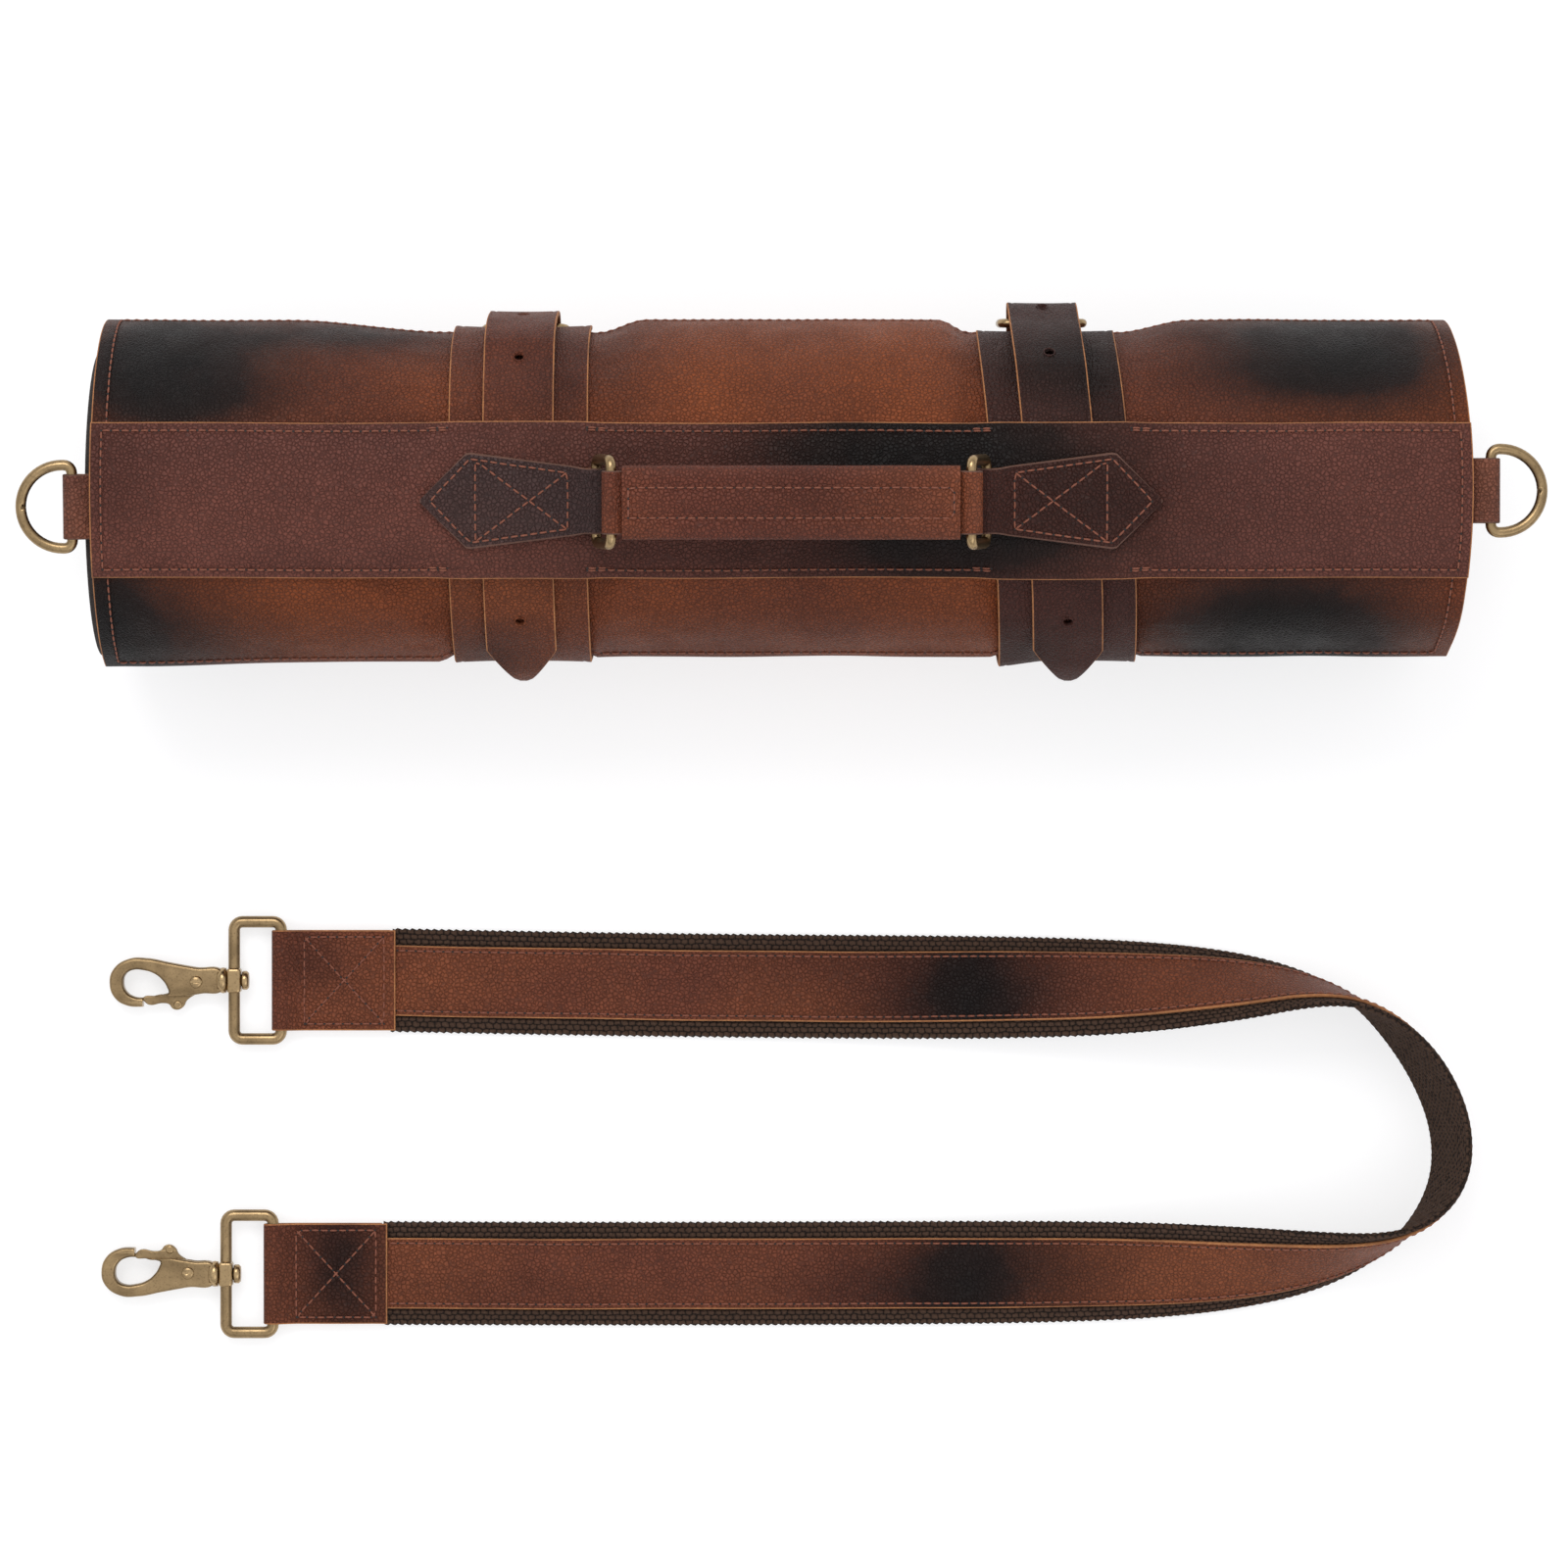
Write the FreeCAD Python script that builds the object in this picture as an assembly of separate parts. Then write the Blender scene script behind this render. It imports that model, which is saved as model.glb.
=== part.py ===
import FreeCAD, Part
import os
from math import acos, atan2, ceil, cos, hypot, pi, radians, sin, sqrt, tan

# Leather brush roll case, rolled up and belted shut, with its shoulder strap unclipped and laid
# on the table in front of it. Millimetres. The roll lies along X, +Z is up, and the origin is on
# the table under the middle of the roll. Angles round the roll are in degrees from the top,
# positive towards the back (+Y).

# Leather and canvas
LEATHER = 1.8
THIN_LEATHER = 1.3
CANVAS = 1.0
LAYER_GAP = 0.2
PIN_CLEARANCE = 0.05

# Roll
ROLL_LENGTH = 484.0
ROLL_RADIUS = 63.0
COVER_RADIUS = ROLL_RADIUS - LEATHER - LAYER_GAP
UNDERSIDE_PRESS = 3.3
UNDERSIDE_BLEND = 0.5
UNDERSIDE_TRIM = 0.06
AXIS_HEIGHT = COVER_RADIUS - UNDERSIDE_PRESS - UNDERSIDE_TRIM
COVER_PITCH = 12.0
COVER_START = 76.0
PITCH_START = 234.0
COVER_END = 960.0
PANEL_HEM = -78.0
PANEL_SEAM = 86.0
BELT_PINCH = 4.5

# Pockets inside the roll
LINING_START = 90.0
POCKET_START = 120.0
POCKET_END = COVER_END - 20.0
POCKET_X = (-234.0, 66.0)

# Spine band over the belts
BAND_FRONT = -29.3
BAND_BACK = 20.7
BAND_TILT = (BAND_FRONT + BAND_BACK) / 2
BAND_RADIUS = ROLL_RADIUS + 1.9

# Belts: (name, x where the belt crosses the top, degrees askew, angle of the buckle's heel bar,
# how far the strap stands off the heel bar)
BELTS = (("left", -92.5, 0.0, 99.0, 4.2), ("right", 98.0, 4.0, 86.0, 6.4))
BASE_WIDTH = 49.0
STRAP_WIDTH = 25.0
CHAPE_WIDTH = 22.8
GROOVE_HALF = BASE_WIDTH / 2 + 6.0
GROOVE_SLOPE = 12.0
HEEL_RADIUS = 61.95
BUCKLE_WIRE = 1.6
BUCKLE_DEPTH = 23.0
PRONG_WIRE = 1.2
HOLE_RADIUS = 1.7
HOLE_ANGLES = (-48.0, -16.0, 16.0, 48.0, 80.0)
PRONG_SLOT = (1.0, 15.0)
PRONG_SLOT_WIDTH = 3.6

# One-inch rings
RING_WIRE = 1.9
RING_HALF = 14.6
END_RING_DEPTH = 18.0
HANDLE_RING_DEPTH = 18.0
RING_CORNER = 2.8
TAB_WIDTH = 22.8
END_BAR_X = ROLL_LENGTH / 2 + 6.6
TAB_ROOT_X = ROLL_LENGTH / 2 - 26.0
END_TABS = (("left", -1, -6.5), ("right", 1, -1.0))

# Handle, laid out about the middle of the grip
HANDLE_X = 3.4
HANDLE_BAR = 68.0
HANDLE_LEAN = 18.1
HANDLE_BAR_RADIUS = 68.45
PATCH_TIP = 129.7
PATCH_SHOULDER = 113.3
PATCH_NECK = 76.0
PATCH_HALF = 17.0
OPEN_LOOP_CLEARANCE = 0.8
GRIP_LENGTH = 117.0
GRIP_WIDTH = 25.7
GRIP_STRAP_WIDTH = 22.0
GRIP_HEIGHT = 9.0

# Shoulder strap
WEBBING_WIDTH = 38.0
WEBBING = 2.0
WEBBING_LIFT = 0.4
FACING_WIDTH = 26.0
STRAP_ENDS = (("1", -144.0, -176.2, -1), ("2", -147.0, -284.4, 1))
STRAP_CHAPE_LENGTH = 35.0
STRAP_CHAPE_WIDTH = 38.6
STRAP_FOLD_WIDTH = 37.0
# Middle of the webbing between the chapes: x, y and how far the webbing is rolled on to its edge
STRAP_ROUTE = (
    (-144.0, -176.2, 0.0), (-92.0, -177.3, 0.0), (-38.0, -178.1, 0.0), (17.0, -178.6, 2.0),
    (72.0, -178.8, 10.0), (124.0, -178.5, 26.0), (165.0, -177.7, 50.0), (193.0, -178.6, 74.0),
    (212.0, -184.0, 91.0), (227.0, -195.5, 102.0), (238.5, -211.0, 106.0), (245.5, -229.0, 106.0),
    (245.5, -247.0, 103.0), (237.0, -262.0, 94.0), (221.0, -272.5, 76.0), (198.0, -278.8, 54.0),
    (168.0, -281.8, 34.0), (130.0, -283.2, 16.0), (78.0, -284.0, 4.0), (23.0, -284.4, 0.0),
    (-33.0, -284.6, 0.0), (-90.0, -284.6, 0.0), (-147.0, -284.4, 0.0),
)

# Snap hooks: u runs from the swivel towards the tip, v across towards the back of the gate
LOOP_WIRE = 2.15
LOOP_HALF = 21.6
LOOP_DEPTH = 17.3
LOOP_AXIS_Z = 4.7
HOOK_SLOT_HALF = 1.5
GATE_HALF = 1.3
HOOK_HALF = 3.1
RIVET_U = 13.8
RIVET_V = -0.5
RIVET_RADIUS = 1.5

V = FreeCAD.Vector
X_AXIS = V(1, 0, 0)
Y_AXIS = V(0, 1, 0)
Z_AXIS = V(0, 0, 1)
ROLL_AXIS = V(0, 0, AXIS_HEIGHT)

nodes = {}


def add(name, shape):
    """Keep a finished piece under its node name."""
    nodes[name] = shape.removeSplitter()


def turned(shape, centre, axis, degrees):
    copy = shape.copy()
    copy.rotate(centre, axis, degrees)
    return copy


def moved(shape, x=0.0, y=0.0, z=0.0):
    copy = shape.copy()
    copy.translate(V(x, y, z))
    return copy


def skewed(shape, degrees):
    """Shape slid along X in proportion to Y, as a strip wound a little askew."""
    matrix = FreeCAD.Matrix()
    matrix.A12 = -tan(radians(degrees))
    return shape.transformGeometry(matrix)


def mirrored_x(shape):
    return shape.mirror(V(0, 0, 0), X_AXIS)


def block(x, y, z):
    """A box from three (low, high) pairs."""
    return Part.makeBox(x[1] - x[0], y[1] - y[0], z[1] - z[0], V(x[0], y[0], z[0]))


def smooth_step(low, high, value):
    share = min(max((value - low) / (high - low), 0.0), 1.0)
    return share * share * (3 - 2 * share)


# ---- sheets seen edge-on -------------------------------------------------------------------

def offset_points(points, distance):
    """The points of an open 2-D line moved sideways, to the left of its direction."""
    moved_points = []
    for i, (a, b) in enumerate(points):
        before = points[max(i - 1, 0)]
        after = points[min(i + 1, len(points) - 1)]
        run = hypot(after[0] - before[0], after[1] - before[1])
        normal = (-(after[1] - before[1]) / run, (after[0] - before[0]) / run)
        moved_points.append((a + normal[0] * distance, b + normal[1] * distance))
    return moved_points


def edge_outline(points, thickness, place):
    """Closed outline of a sheet of even thickness about a centre line. place puts 2-D in 3-D."""
    left = [place(p) for p in offset_points(points, thickness / 2)]
    right = [place(p) for p in offset_points(points, -thickness / 2)]
    curves = []
    for side in (left, right):
        curve = Part.BSplineCurve()
        curve.interpolate(side)
        curves.append(curve.toShape())
    start = Part.LineSegment(right[0], left[0]).toShape()
    end = Part.LineSegment(left[-1], right[-1]).toShape()
    return Part.Wire([start, curves[0], end, curves[1]])


def folded_face(points, thickness, place):
    """Flat cross-section of a folded strip, in short straight stretches so that plies can lie close."""
    left = [place(p) for p in offset_points(points, thickness / 2)]
    right = [place(p) for p in offset_points(points, -thickness / 2)]
    return Part.Face(Part.makePolygon(left + right[::-1] + [left[0]]))


def sheet_along_x(points, thickness, x_low, x_high):
    """A sheet whose cross-section in the YZ plane follows points."""
    outline = edge_outline(points, thickness, lambda p: V(x_low, p[0], p[1]))
    return Part.Face(outline).extrude(V(x_high - x_low, 0, 0))


def fold_along_y(points, thickness, width):
    """A folded strip whose cross-section in the XZ plane follows points."""
    face = folded_face(points, thickness, lambda p: V(p[0], -width / 2, p[1]))
    return face.extrude(V(0, width, 0))


def tangent_angle(point, centre, radius, side):
    """Angle on a circle where a line from an outside point touches it, on the given side."""
    dx = point[0] - centre[0]
    dz = point[1] - centre[1]
    return atan2(dz, dx) + side * acos(radius / hypot(dx, dz))


def eye_path(low_tail, high_tail, centre, radius, side):
    """Centre line of a strip that comes in along low_tail, goes round a bar and back out."""
    start = tangent_angle(low_tail[-1], centre, radius, side)
    end = tangent_angle(high_tail[0], centre, radius, -side)
    sweep = (end - start) * side % (2 * pi)
    steps = 16
    arc = []
    for i in range(steps + 1):
        angle = start + side * sweep * i / steps
        arc.append((centre[0] + radius * cos(angle), centre[1] + radius * sin(angle)))
    first_gap = halfway(low_tail[-1], arc[0])
    last_gap = halfway(arc[-1], high_tail[0])
    return low_tail + [first_gap] + arc + [last_gap] + high_tail


def halfway(a, b):
    return ((a[0] + b[0]) / 2, (a[1] + b[1]) / 2)


# ---- round the roll ------------------------------------------------------------------------

def settled(radius, degrees):
    """Radius at an angle once the underside is pressed flat by the roll's own weight."""
    down = -cos(radians(degrees))
    if down < 0.3:
        return radius
    flat = (radius - UNDERSIDE_PRESS) / down
    return (radius + flat - sqrt((flat - radius) ** 2 + UNDERSIDE_BLEND ** 2)) / 2


def polar(radius, degrees):
    """(y, z) at a radius and angle round the roll."""
    reach = settled(radius, degrees)
    angle = radians(degrees)
    return (reach * sin(angle), AXIS_HEIGHT + reach * cos(angle))


def angles(start, end, step=5.0):
    count = ceil((end - start) / step)
    return [start + (end - start) * i / count for i in range(count + 1)]


def cover_radius(degrees):
    """Outer radius of the main cover, which winds inwards from the lap seam."""
    return COVER_RADIUS - COVER_PITCH * max(degrees - PITCH_START, 0.0) / 360


def wound_sheet(start, end, depth, thickness, x_low, x_high):
    """A sheet wound with the main cover, depth below its outer face, drawn in under the belts."""
    stations = [x for x in groove_stations() if x_low < x < x_high]
    outlines = []
    for x in [x_low] + stations + [x_high]:
        drop = depth + thickness / 2 + pinch(x)
        points = [polar(cover_radius(a) - drop, a) for a in angles(start, end)]
        outlines.append(edge_outline(points, thickness, lambda p: V(x, p[0], p[1])))
    return Part.makeLoft(outlines, True, True)


def groove_stations():
    stations = []
    for _, x, *_ in BELTS:
        stations += [x - GROOVE_HALF - GROOVE_SLOPE, x - GROOVE_HALF]
        stations += [x + GROOVE_HALF, x + GROOVE_HALF + GROOVE_SLOPE]
    return stations


def pinch(x):
    """How far the belts draw the roll in at x."""
    depth = 0.0
    for _, belt_x, *_ in BELTS:
        beyond = abs(x - belt_x) - GROOVE_HALF
        depth = max(depth, BELT_PINCH * (1 - min(max(beyond / GROOVE_SLOPE, 0.0), 1.0)))
    return depth


def make_roll():
    half = ROLL_LENGTH / 2
    cover = wound_sheet(COVER_START, COVER_END, 0.0, LEATHER, -half, half)
    table = block((-half - 1, half + 1), (-ROLL_RADIUS, ROLL_RADIUS), (-5.0, 0.0))
    add("main_cover", cover.cut(table))
    lining_depth = LEATHER + LAYER_GAP
    add("lining", wound_sheet(LINING_START, COVER_END - 4, lining_depth, CANVAS, 3 - half, half - 3))
    pocket_depth = lining_depth + CANVAS + LAYER_GAP
    add("pocket_panel", wound_sheet(POCKET_START, POCKET_END, pocket_depth, CANVAS, *POCKET_X))
    outlines = []
    for x in [-half] + groove_stations() + [half]:
        radius = ROLL_RADIUS - LEATHER / 2 - pinch(x)
        points = [polar(radius, a) for a in angles(PANEL_HEM, PANEL_SEAM)]
        outlines.append(edge_outline(points, LEATHER, lambda p: V(x, p[0], p[1])))
    add("outer_panel", Part.makeLoft(outlines, True, True))
    band = [polar(BAND_RADIUS - LEATHER / 2, a) for a in angles(BAND_FRONT, BAND_BACK)]
    add("spine_band", sheet_along_x(band, LEATHER, -half, half))


# ---- belts ---------------------------------------------------------------------------------

def off_panel(degrees):
    """1 where a belt lies on the outer panel, 0 where it has stepped down off its edges."""
    on_front = smooth_step(PANEL_HEM - 12, PANEL_HEM, degrees)
    on_back = 1 - smooth_step(PANEL_SEAM, PANEL_SEAM + 12, degrees)
    return 1 - on_front * on_back


def keyed(keys, value):
    """Smooth value between (position, value) keys."""
    for (low, first), (high, last) in zip(keys, keys[1:]):
        if value <= high:
            return first + (last - first) * smooth_step(low, high, value)
    return keys[-1][1]


PINCHED = ROLL_RADIUS - BELT_PINCH
PANEL_STEP = LEATHER + LAYER_GAP
BASE_MIDDLE = PINCHED + 0.3 + LEATHER / 2
STRAP_ON_BASE = BASE_MIDDLE + LEATHER + 0.25
STRAP_ON_CHAPE = STRAP_ON_BASE + 2 * THIN_LEATHER + 0.25
STRAP_AT_BACK = STRAP_ON_BASE - PANEL_STEP
STRAP_IN_BUCKLE = 61.4


def strap_keys(heel, stand_off):
    """Middle radius of the strap at angles round the roll, for a heel bar at the heel angle."""
    return (
        (-82.0, STRAP_ON_BASE), (heel - 56, STRAP_ON_BASE), (heel - 42, STRAP_ON_CHAPE),
        (heel - 17, STRAP_ON_CHAPE), (heel - 1, HEEL_RADIUS + stand_off),
        (heel + 19, STRAP_IN_BUCKLE), (heel + 34, STRAP_AT_BACK), (216.0, STRAP_AT_BACK),
    )


def rising(point, radius, degrees):
    """Point given by (along, out) at a radius and angle, without the flattened underside."""
    angle = radians(degrees)
    along, out = point
    y = (radius + out) * sin(angle) + along * cos(angle)
    z = AXIS_HEIGHT + (radius + out) * cos(angle) - along * sin(angle)
    return (y, z)


def belt_base(heel):
    points = []
    for a in angles(-215.0, heel - 13):
        points.append(polar(BASE_MIDDLE - PANEL_STEP * off_panel(a), a))
    return sheet_along_x(points, LEATHER, -BASE_WIDTH / 2, BASE_WIDTH / 2)


def belt_strap(heel, stand_off):
    """The narrow strap with its pointed end, adjusting holes and the hole that the prong fills."""
    keys = strap_keys(heel, stand_off)
    points = [polar(keyed(keys, a), a) for a in angles(-84.0, 216.0, 4.0)]
    half = STRAP_WIDTH / 2
    strap = sheet_along_x(points, LEATHER, -half, half)
    corner_z = AXIS_HEIGHT + STRAP_ON_BASE * cos(radians(-64.0))
    tip_z = AXIS_HEIGHT + STRAP_ON_BASE * cos(radians(-84.0))
    for side in (-1, 1):
        offcut = Part.makePolygon([
            V(side * half * 1.05, -80, corner_z + 0.5), V(side * half * 1.05, -80, tip_z - 1),
            V(0, -80, tip_z - 1), V(side * half * 1.05, -80, corner_z + 0.5)])
        strap = strap.cut(Part.Face(offcut).extrude(V(0, 40, 0)))
    for a in HOLE_ANGLES:
        y, z = rising((0, -10), STRAP_ON_BASE, a)
        out = V(0, sin(radians(a)), cos(radians(a)))
        strap = strap.cut(Part.makeCylinder(HOLE_RADIUS, 20, V(0, y, z), out))
    slot_half = PRONG_SLOT_WIDTH / 2
    y_low = 50.0
    z_high = AXIS_HEIGHT + 66 * cos(radians(heel + PRONG_SLOT[0]))
    z_low = AXIS_HEIGHT + 64 * cos(radians(heel + PRONG_SLOT[1]))
    return strap.cut(block((-slot_half, slot_half), (y_low, 75.0), (z_low, z_high)))


def buckle_chape(heel):
    """Leather folded round the buckle's heel bar and sewn to the base, slotted for the prong."""
    lower = BASE_MIDDLE + LEATHER / 2 + 0.1 + THIN_LEATHER / 2
    upper = lower + THIN_LEATHER + 0.05
    radius = BUCKLE_WIRE + PIN_CLEARANCE + THIN_LEATHER / 2
    centre = rising((0, 0), HEEL_RADIUS, heel)
    low_tail = [polar(lower, a) for a in angles(heel - 40, heel - 10)]
    high_tail = [polar(upper, a) for a in reversed(angles(heel - 40, heel - 9))]
    path = eye_path(low_tail, high_tail, centre, radius, 1)
    half = CHAPE_WIDTH / 2
    face = folded_face(path, THIN_LEATHER, lambda p: V(-half, p[0], p[1]))
    chape = face.extrude(V(CHAPE_WIDTH, 0, 0))
    y, z = centre
    slot = block((-2.1, 2.1), (y - 3.4, y + 5), (z - 5, z + 3.6))
    return chape.cut(slot)


def loop_path(half, depth, near_corner, far_corner):
    """Closed centre line of a wire loop in the XY plane: its bar on the Y axis, the rest at +X."""
    near = near_corner
    far = min(far_corner, half - 0.001)
    k = sqrt(0.5)
    corners = (
        (V(0, half - near, 0), V(near - near * k, half - near + near * k, 0), V(near, half, 0)),
        (V(depth - far, half, 0), V(depth - far + far * k, half - far + far * k, 0),
         V(depth, half - far, 0)),
        (V(depth, far - half, 0), V(depth - far + far * k, far - half - far * k, 0),
         V(depth - far, -half, 0)),
        (V(near, -half, 0), V(near - near * k, near - half - near * k, 0), V(0, near - half, 0)),
    )
    edges = []
    for i, (start, middle, end) in enumerate(corners):
        edges.append(Part.Arc(start, middle, end).toShape())
        following = corners[(i + 1) % 4][0]
        if end.distanceToPoint(following) > 0.01:
            edges.append(Part.LineSegment(end, following).toShape())
    return edges


def wire_loop(half, depth, near_corner, far_corner, wire_radius):
    """A ring bent from round wire, bar on the Y axis."""
    edges = loop_path(half, depth, near_corner, far_corner)
    ordered = Part.Wire(edges)
    middle = V((near_corner + depth - far_corner) / 2, half, 0)
    section = Part.Wire(Part.makeCircle(wire_radius, middle, X_AXIS))
    return ordered.makePipeShell([section], True, True)


def buckle_frame():
    """Buckle frame in its own plane: heel bar on the Y axis, tip bar at +X."""
    return wire_loop(RING_HALF, BUCKLE_DEPTH, 2.9, 6.5, BUCKLE_WIRE)


def buckle_prong():
    """Prong lying along +X from an eye round the heel bar, its end on the tip bar."""
    eye_out = BUCKLE_WIRE + PIN_CLEARANCE + 1.3
    eye = Part.makeCylinder(eye_out, 3.0, V(0, -1.5, 0), Y_AXIS)
    start = V(1.2, 0, 1.1)
    end = V(BUCKLE_DEPTH + 2.2, 0, BUCKLE_WIRE + PRONG_WIRE + 0.25)
    run = end.sub(start)
    pin = Part.makeCylinder(PRONG_WIRE, run.Length, start, run)
    tip = Part.makeSphere(PRONG_WIRE, end)
    bore = Part.makeCylinder(BUCKLE_WIRE + PIN_CLEARANCE, 8, V(0, -4, 0), Y_AXIS)
    return eye.fuse([pin, tip]).cut(bore)


def on_back(shape, heel):
    """Put a buckle piece on the back of the roll: its X runs down the back, its Z points out."""
    upright = turned(shape, V(0, 0, 0), Z_AXIS, 90)
    upright = turned(upright, V(0, 0, 0), X_AXIS, -heel)
    y, z = rising((0, 0), HEEL_RADIUS, heel)
    return moved(upright, 0, y, z)


def make_belts():
    for side, x, skew, heel, stand_off in BELTS:
        leather = {
            "belt_base": belt_base(heel),
            "belt_strap": belt_strap(heel, stand_off),
            "buckle_chape": buckle_chape(heel),
        }
        for name, shape in leather.items():
            placed = skewed(shape, skew) if skew else shape
            add(name + "_" + side, moved(placed, x))
        heel_y, _ = rising((0, 0), HEEL_RADIUS, heel)
        for name, shape in (("buckle_frame", buckle_frame()), ("buckle_prong", buckle_prong())):
            placed = on_back(shape, heel)
            add(name + "_" + side, moved(placed, x - heel_y * tan(radians(skew))))


# ---- end rings -----------------------------------------------------------------------------

def tab_height():
    """Middle of the tab, which is flat and lies just inside the curved outer panel."""
    inner = ROLL_RADIUS - LEATHER
    half = TAB_WIDTH / 2
    return sqrt(inner ** 2 - half ** 2) - 0.15 - THIN_LEATHER - 0.025


def end_tab():
    """Tab for the +X end, folded round the ring's bar."""
    level = AXIS_HEIGHT + tab_height()
    lift = THIN_LEATHER / 2 + 0.025
    low_tail = [(x, level - lift) for x in (TAB_ROOT_X, TAB_ROOT_X + 12, END_BAR_X - 7)]
    high_tail = [(x, level + lift) for x in (END_BAR_X - 7, TAB_ROOT_X + 12, TAB_ROOT_X)]
    radius = RING_WIRE + PIN_CLEARANCE + THIN_LEATHER / 2
    path = eye_path(low_tail, high_tail, (END_BAR_X, level), radius, 1)
    return fold_along_y(path, THIN_LEATHER, TAB_WIDTH)


def end_ring():
    ring = wire_loop(RING_HALF, END_RING_DEPTH, RING_CORNER, RING_HALF, RING_WIRE)
    return moved(ring, END_BAR_X, 0, AXIS_HEIGHT + tab_height())


def make_end_rings():
    for side, sign, tilt in END_TABS:
        for name, shape in (("end_tab", end_tab()), ("end_ring", end_ring())):
            placed = shape if sign > 0 else mirrored_x(shape)
            add(name + "_" + side, turned(placed, ROLL_AXIS, X_AXIS, -tilt))


# ---- handle --------------------------------------------------------------------------------

def handle_patch():
    """Patch for the +X end of the handle: five-sided, curved to the band, and folded to an eye."""
    inner = BAND_RADIUS + 0.2
    lower = AXIS_HEIGHT + inner + THIN_LEATHER / 2
    upper = lower + THIN_LEATHER + 0.05
    centre = (-HANDLE_BAR, AXIS_HEIGHT + HANDLE_BAR_RADIUS)
    radius = RING_WIRE + PIN_CLEARANCE + THIN_LEATHER / 2
    low_tail = [(x, lower) for x in (-PATCH_NECK - 3, -PATCH_NECK, -HANDLE_BAR - 5.5)]
    high_tail = [(x, upper) for x in (-PATCH_NECK, -PATCH_NECK - 3)]
    eye = fold_along_y(eye_path(low_tail, high_tail, centre, radius, 1), THIN_LEATHER, TAB_WIDTH)
    shell = Part.makeCylinder(inner + 2 * THIN_LEATHER, 60, V(-PATCH_TIP, 0, AXIS_HEIGHT), X_AXIS)
    shell = shell.cut(Part.makeCylinder(inner, 62, V(-PATCH_TIP - 1, 0, AXIS_HEIGHT), X_AXIS))
    neck = TAB_WIDTH / 2
    outline = [(-PATCH_TIP, 0), (-PATCH_SHOULDER, PATCH_HALF), (-PATCH_NECK, neck + 0.8),
               (-PATCH_NECK, -neck - 0.8), (-PATCH_SHOULDER, -PATCH_HALF), (-PATCH_TIP, 0)]
    cutter = Part.Face(Part.makePolygon([V(x, y, AXIS_HEIGHT) for x, y in outline]))
    plate = shell.common(cutter.extrude(V(0, 0, 80)))
    return mirrored_x(plate.fuse(eye))


def handle_ring():
    """Ring for the +X end, standing on its bar and leaning in towards the grip."""
    ring = wire_loop(RING_HALF, HANDLE_RING_DEPTH, RING_CORNER, RING_CORNER, RING_WIRE)
    ring = turned(ring, V(0, 0, 0), Y_AXIS, -90 - HANDLE_LEAN)
    return moved(ring, HANDLE_BAR, 0, AXIS_HEIGHT + HANDLE_BAR_RADIUS)


def grip_bars():
    """Distance from the middle of the grip to each upper bar, and the bars' height."""
    lean = radians(HANDLE_LEAN)
    reach = HANDLE_BAR - HANDLE_RING_DEPTH * sin(lean)
    height = AXIS_HEIGHT + HANDLE_BAR_RADIUS + HANDLE_RING_DEPTH * cos(lean)
    return reach, height


def grip_strap():
    """The strap inside the grip: one loop of leather round both upper bars."""
    reach, height = grip_bars()
    lift = THIN_LEATHER / 2 + 0.025
    halves = []
    for sign, clearance in ((-1, PIN_CLEARANCE), (1, OPEN_LOOP_CLEARANCE)):
        radius = RING_WIRE + clearance + THIN_LEATHER / 2
        neck = sign * (reach - 4.2)
        low_tail = [(0, height - lift), (neck / 2, height - lift), (neck, height - lift)]
        high_tail = [(neck, height + lift), (neck / 2, height + lift), (0, height + lift)]
        path = eye_path(low_tail, high_tail, (sign * reach, height), radius, sign)
        halves.append(fold_along_y(path, THIN_LEATHER, GRIP_STRAP_WIDTH))
    return halves[0].fuse(halves[1])


def rounded_bar(width, height, corner, length, x_low, z_middle):
    """A bar along X with rounded edges."""
    bar = block((x_low, x_low + length), (-width / 2, width / 2),
                (z_middle - height / 2, z_middle + height / 2))
    along = [e for e in bar.Edges if abs(e.tangentAt(e.FirstParameter).x) > 0.9]
    return bar.makeFillet(corner, along)


def grip_cover():
    _, height = grip_bars()
    low = -GRIP_LENGTH / 2
    outer = rounded_bar(GRIP_WIDTH, GRIP_HEIGHT, 4.2, GRIP_LENGTH, low, height)
    wall = 2 * THIN_LEATHER
    hollow_height = GRIP_HEIGHT - wall
    corner = 4.2 - THIN_LEATHER
    inner = rounded_bar(GRIP_WIDTH - wall, hollow_height, corner, GRIP_LENGTH + 2, low - 1, height)
    return outer.cut(inner)


def grip_padding():
    """Felt above and below the strap, inside the grip's cover."""
    _, height = grip_bars()
    wall = 2 * THIN_LEATHER + 0.2
    corner = 4.2 - THIN_LEATHER
    length = GRIP_LENGTH - 4
    filler = rounded_bar(GRIP_WIDTH - wall, GRIP_HEIGHT - wall, corner - 0.1, length, -length / 2, height)
    slit = THIN_LEATHER + 0.15
    return filler.cut(block((-80, 80), (-20, 20), (height - slit, height + slit)))


def make_handle():
    pieces = (
        ("handle_patch_right", handle_patch()),
        ("handle_patch_left", mirrored_x(handle_patch())),
        ("handle_ring_right", handle_ring()),
        ("handle_ring_left", mirrored_x(handle_ring())),
        ("grip_strap", grip_strap()),
        ("grip_cover", grip_cover()),
        ("grip_padding", grip_padding()),
    )
    for name, shape in pieces:
        add(name, turned(moved(shape, HANDLE_X), ROLL_AXIS, X_AXIS, -BAND_TILT))


# ---- shoulder strap ------------------------------------------------------------------------

def webbing_middle(x, y, roll):
    """Middle of the webbing when one edge, or its face, rests on the table."""
    angle = radians(roll)
    z = WEBBING_WIDTH / 2 * sin(angle) + WEBBING / 2 * abs(cos(angle))
    return V(x, y, z + WEBBING_LIFT)


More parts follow.
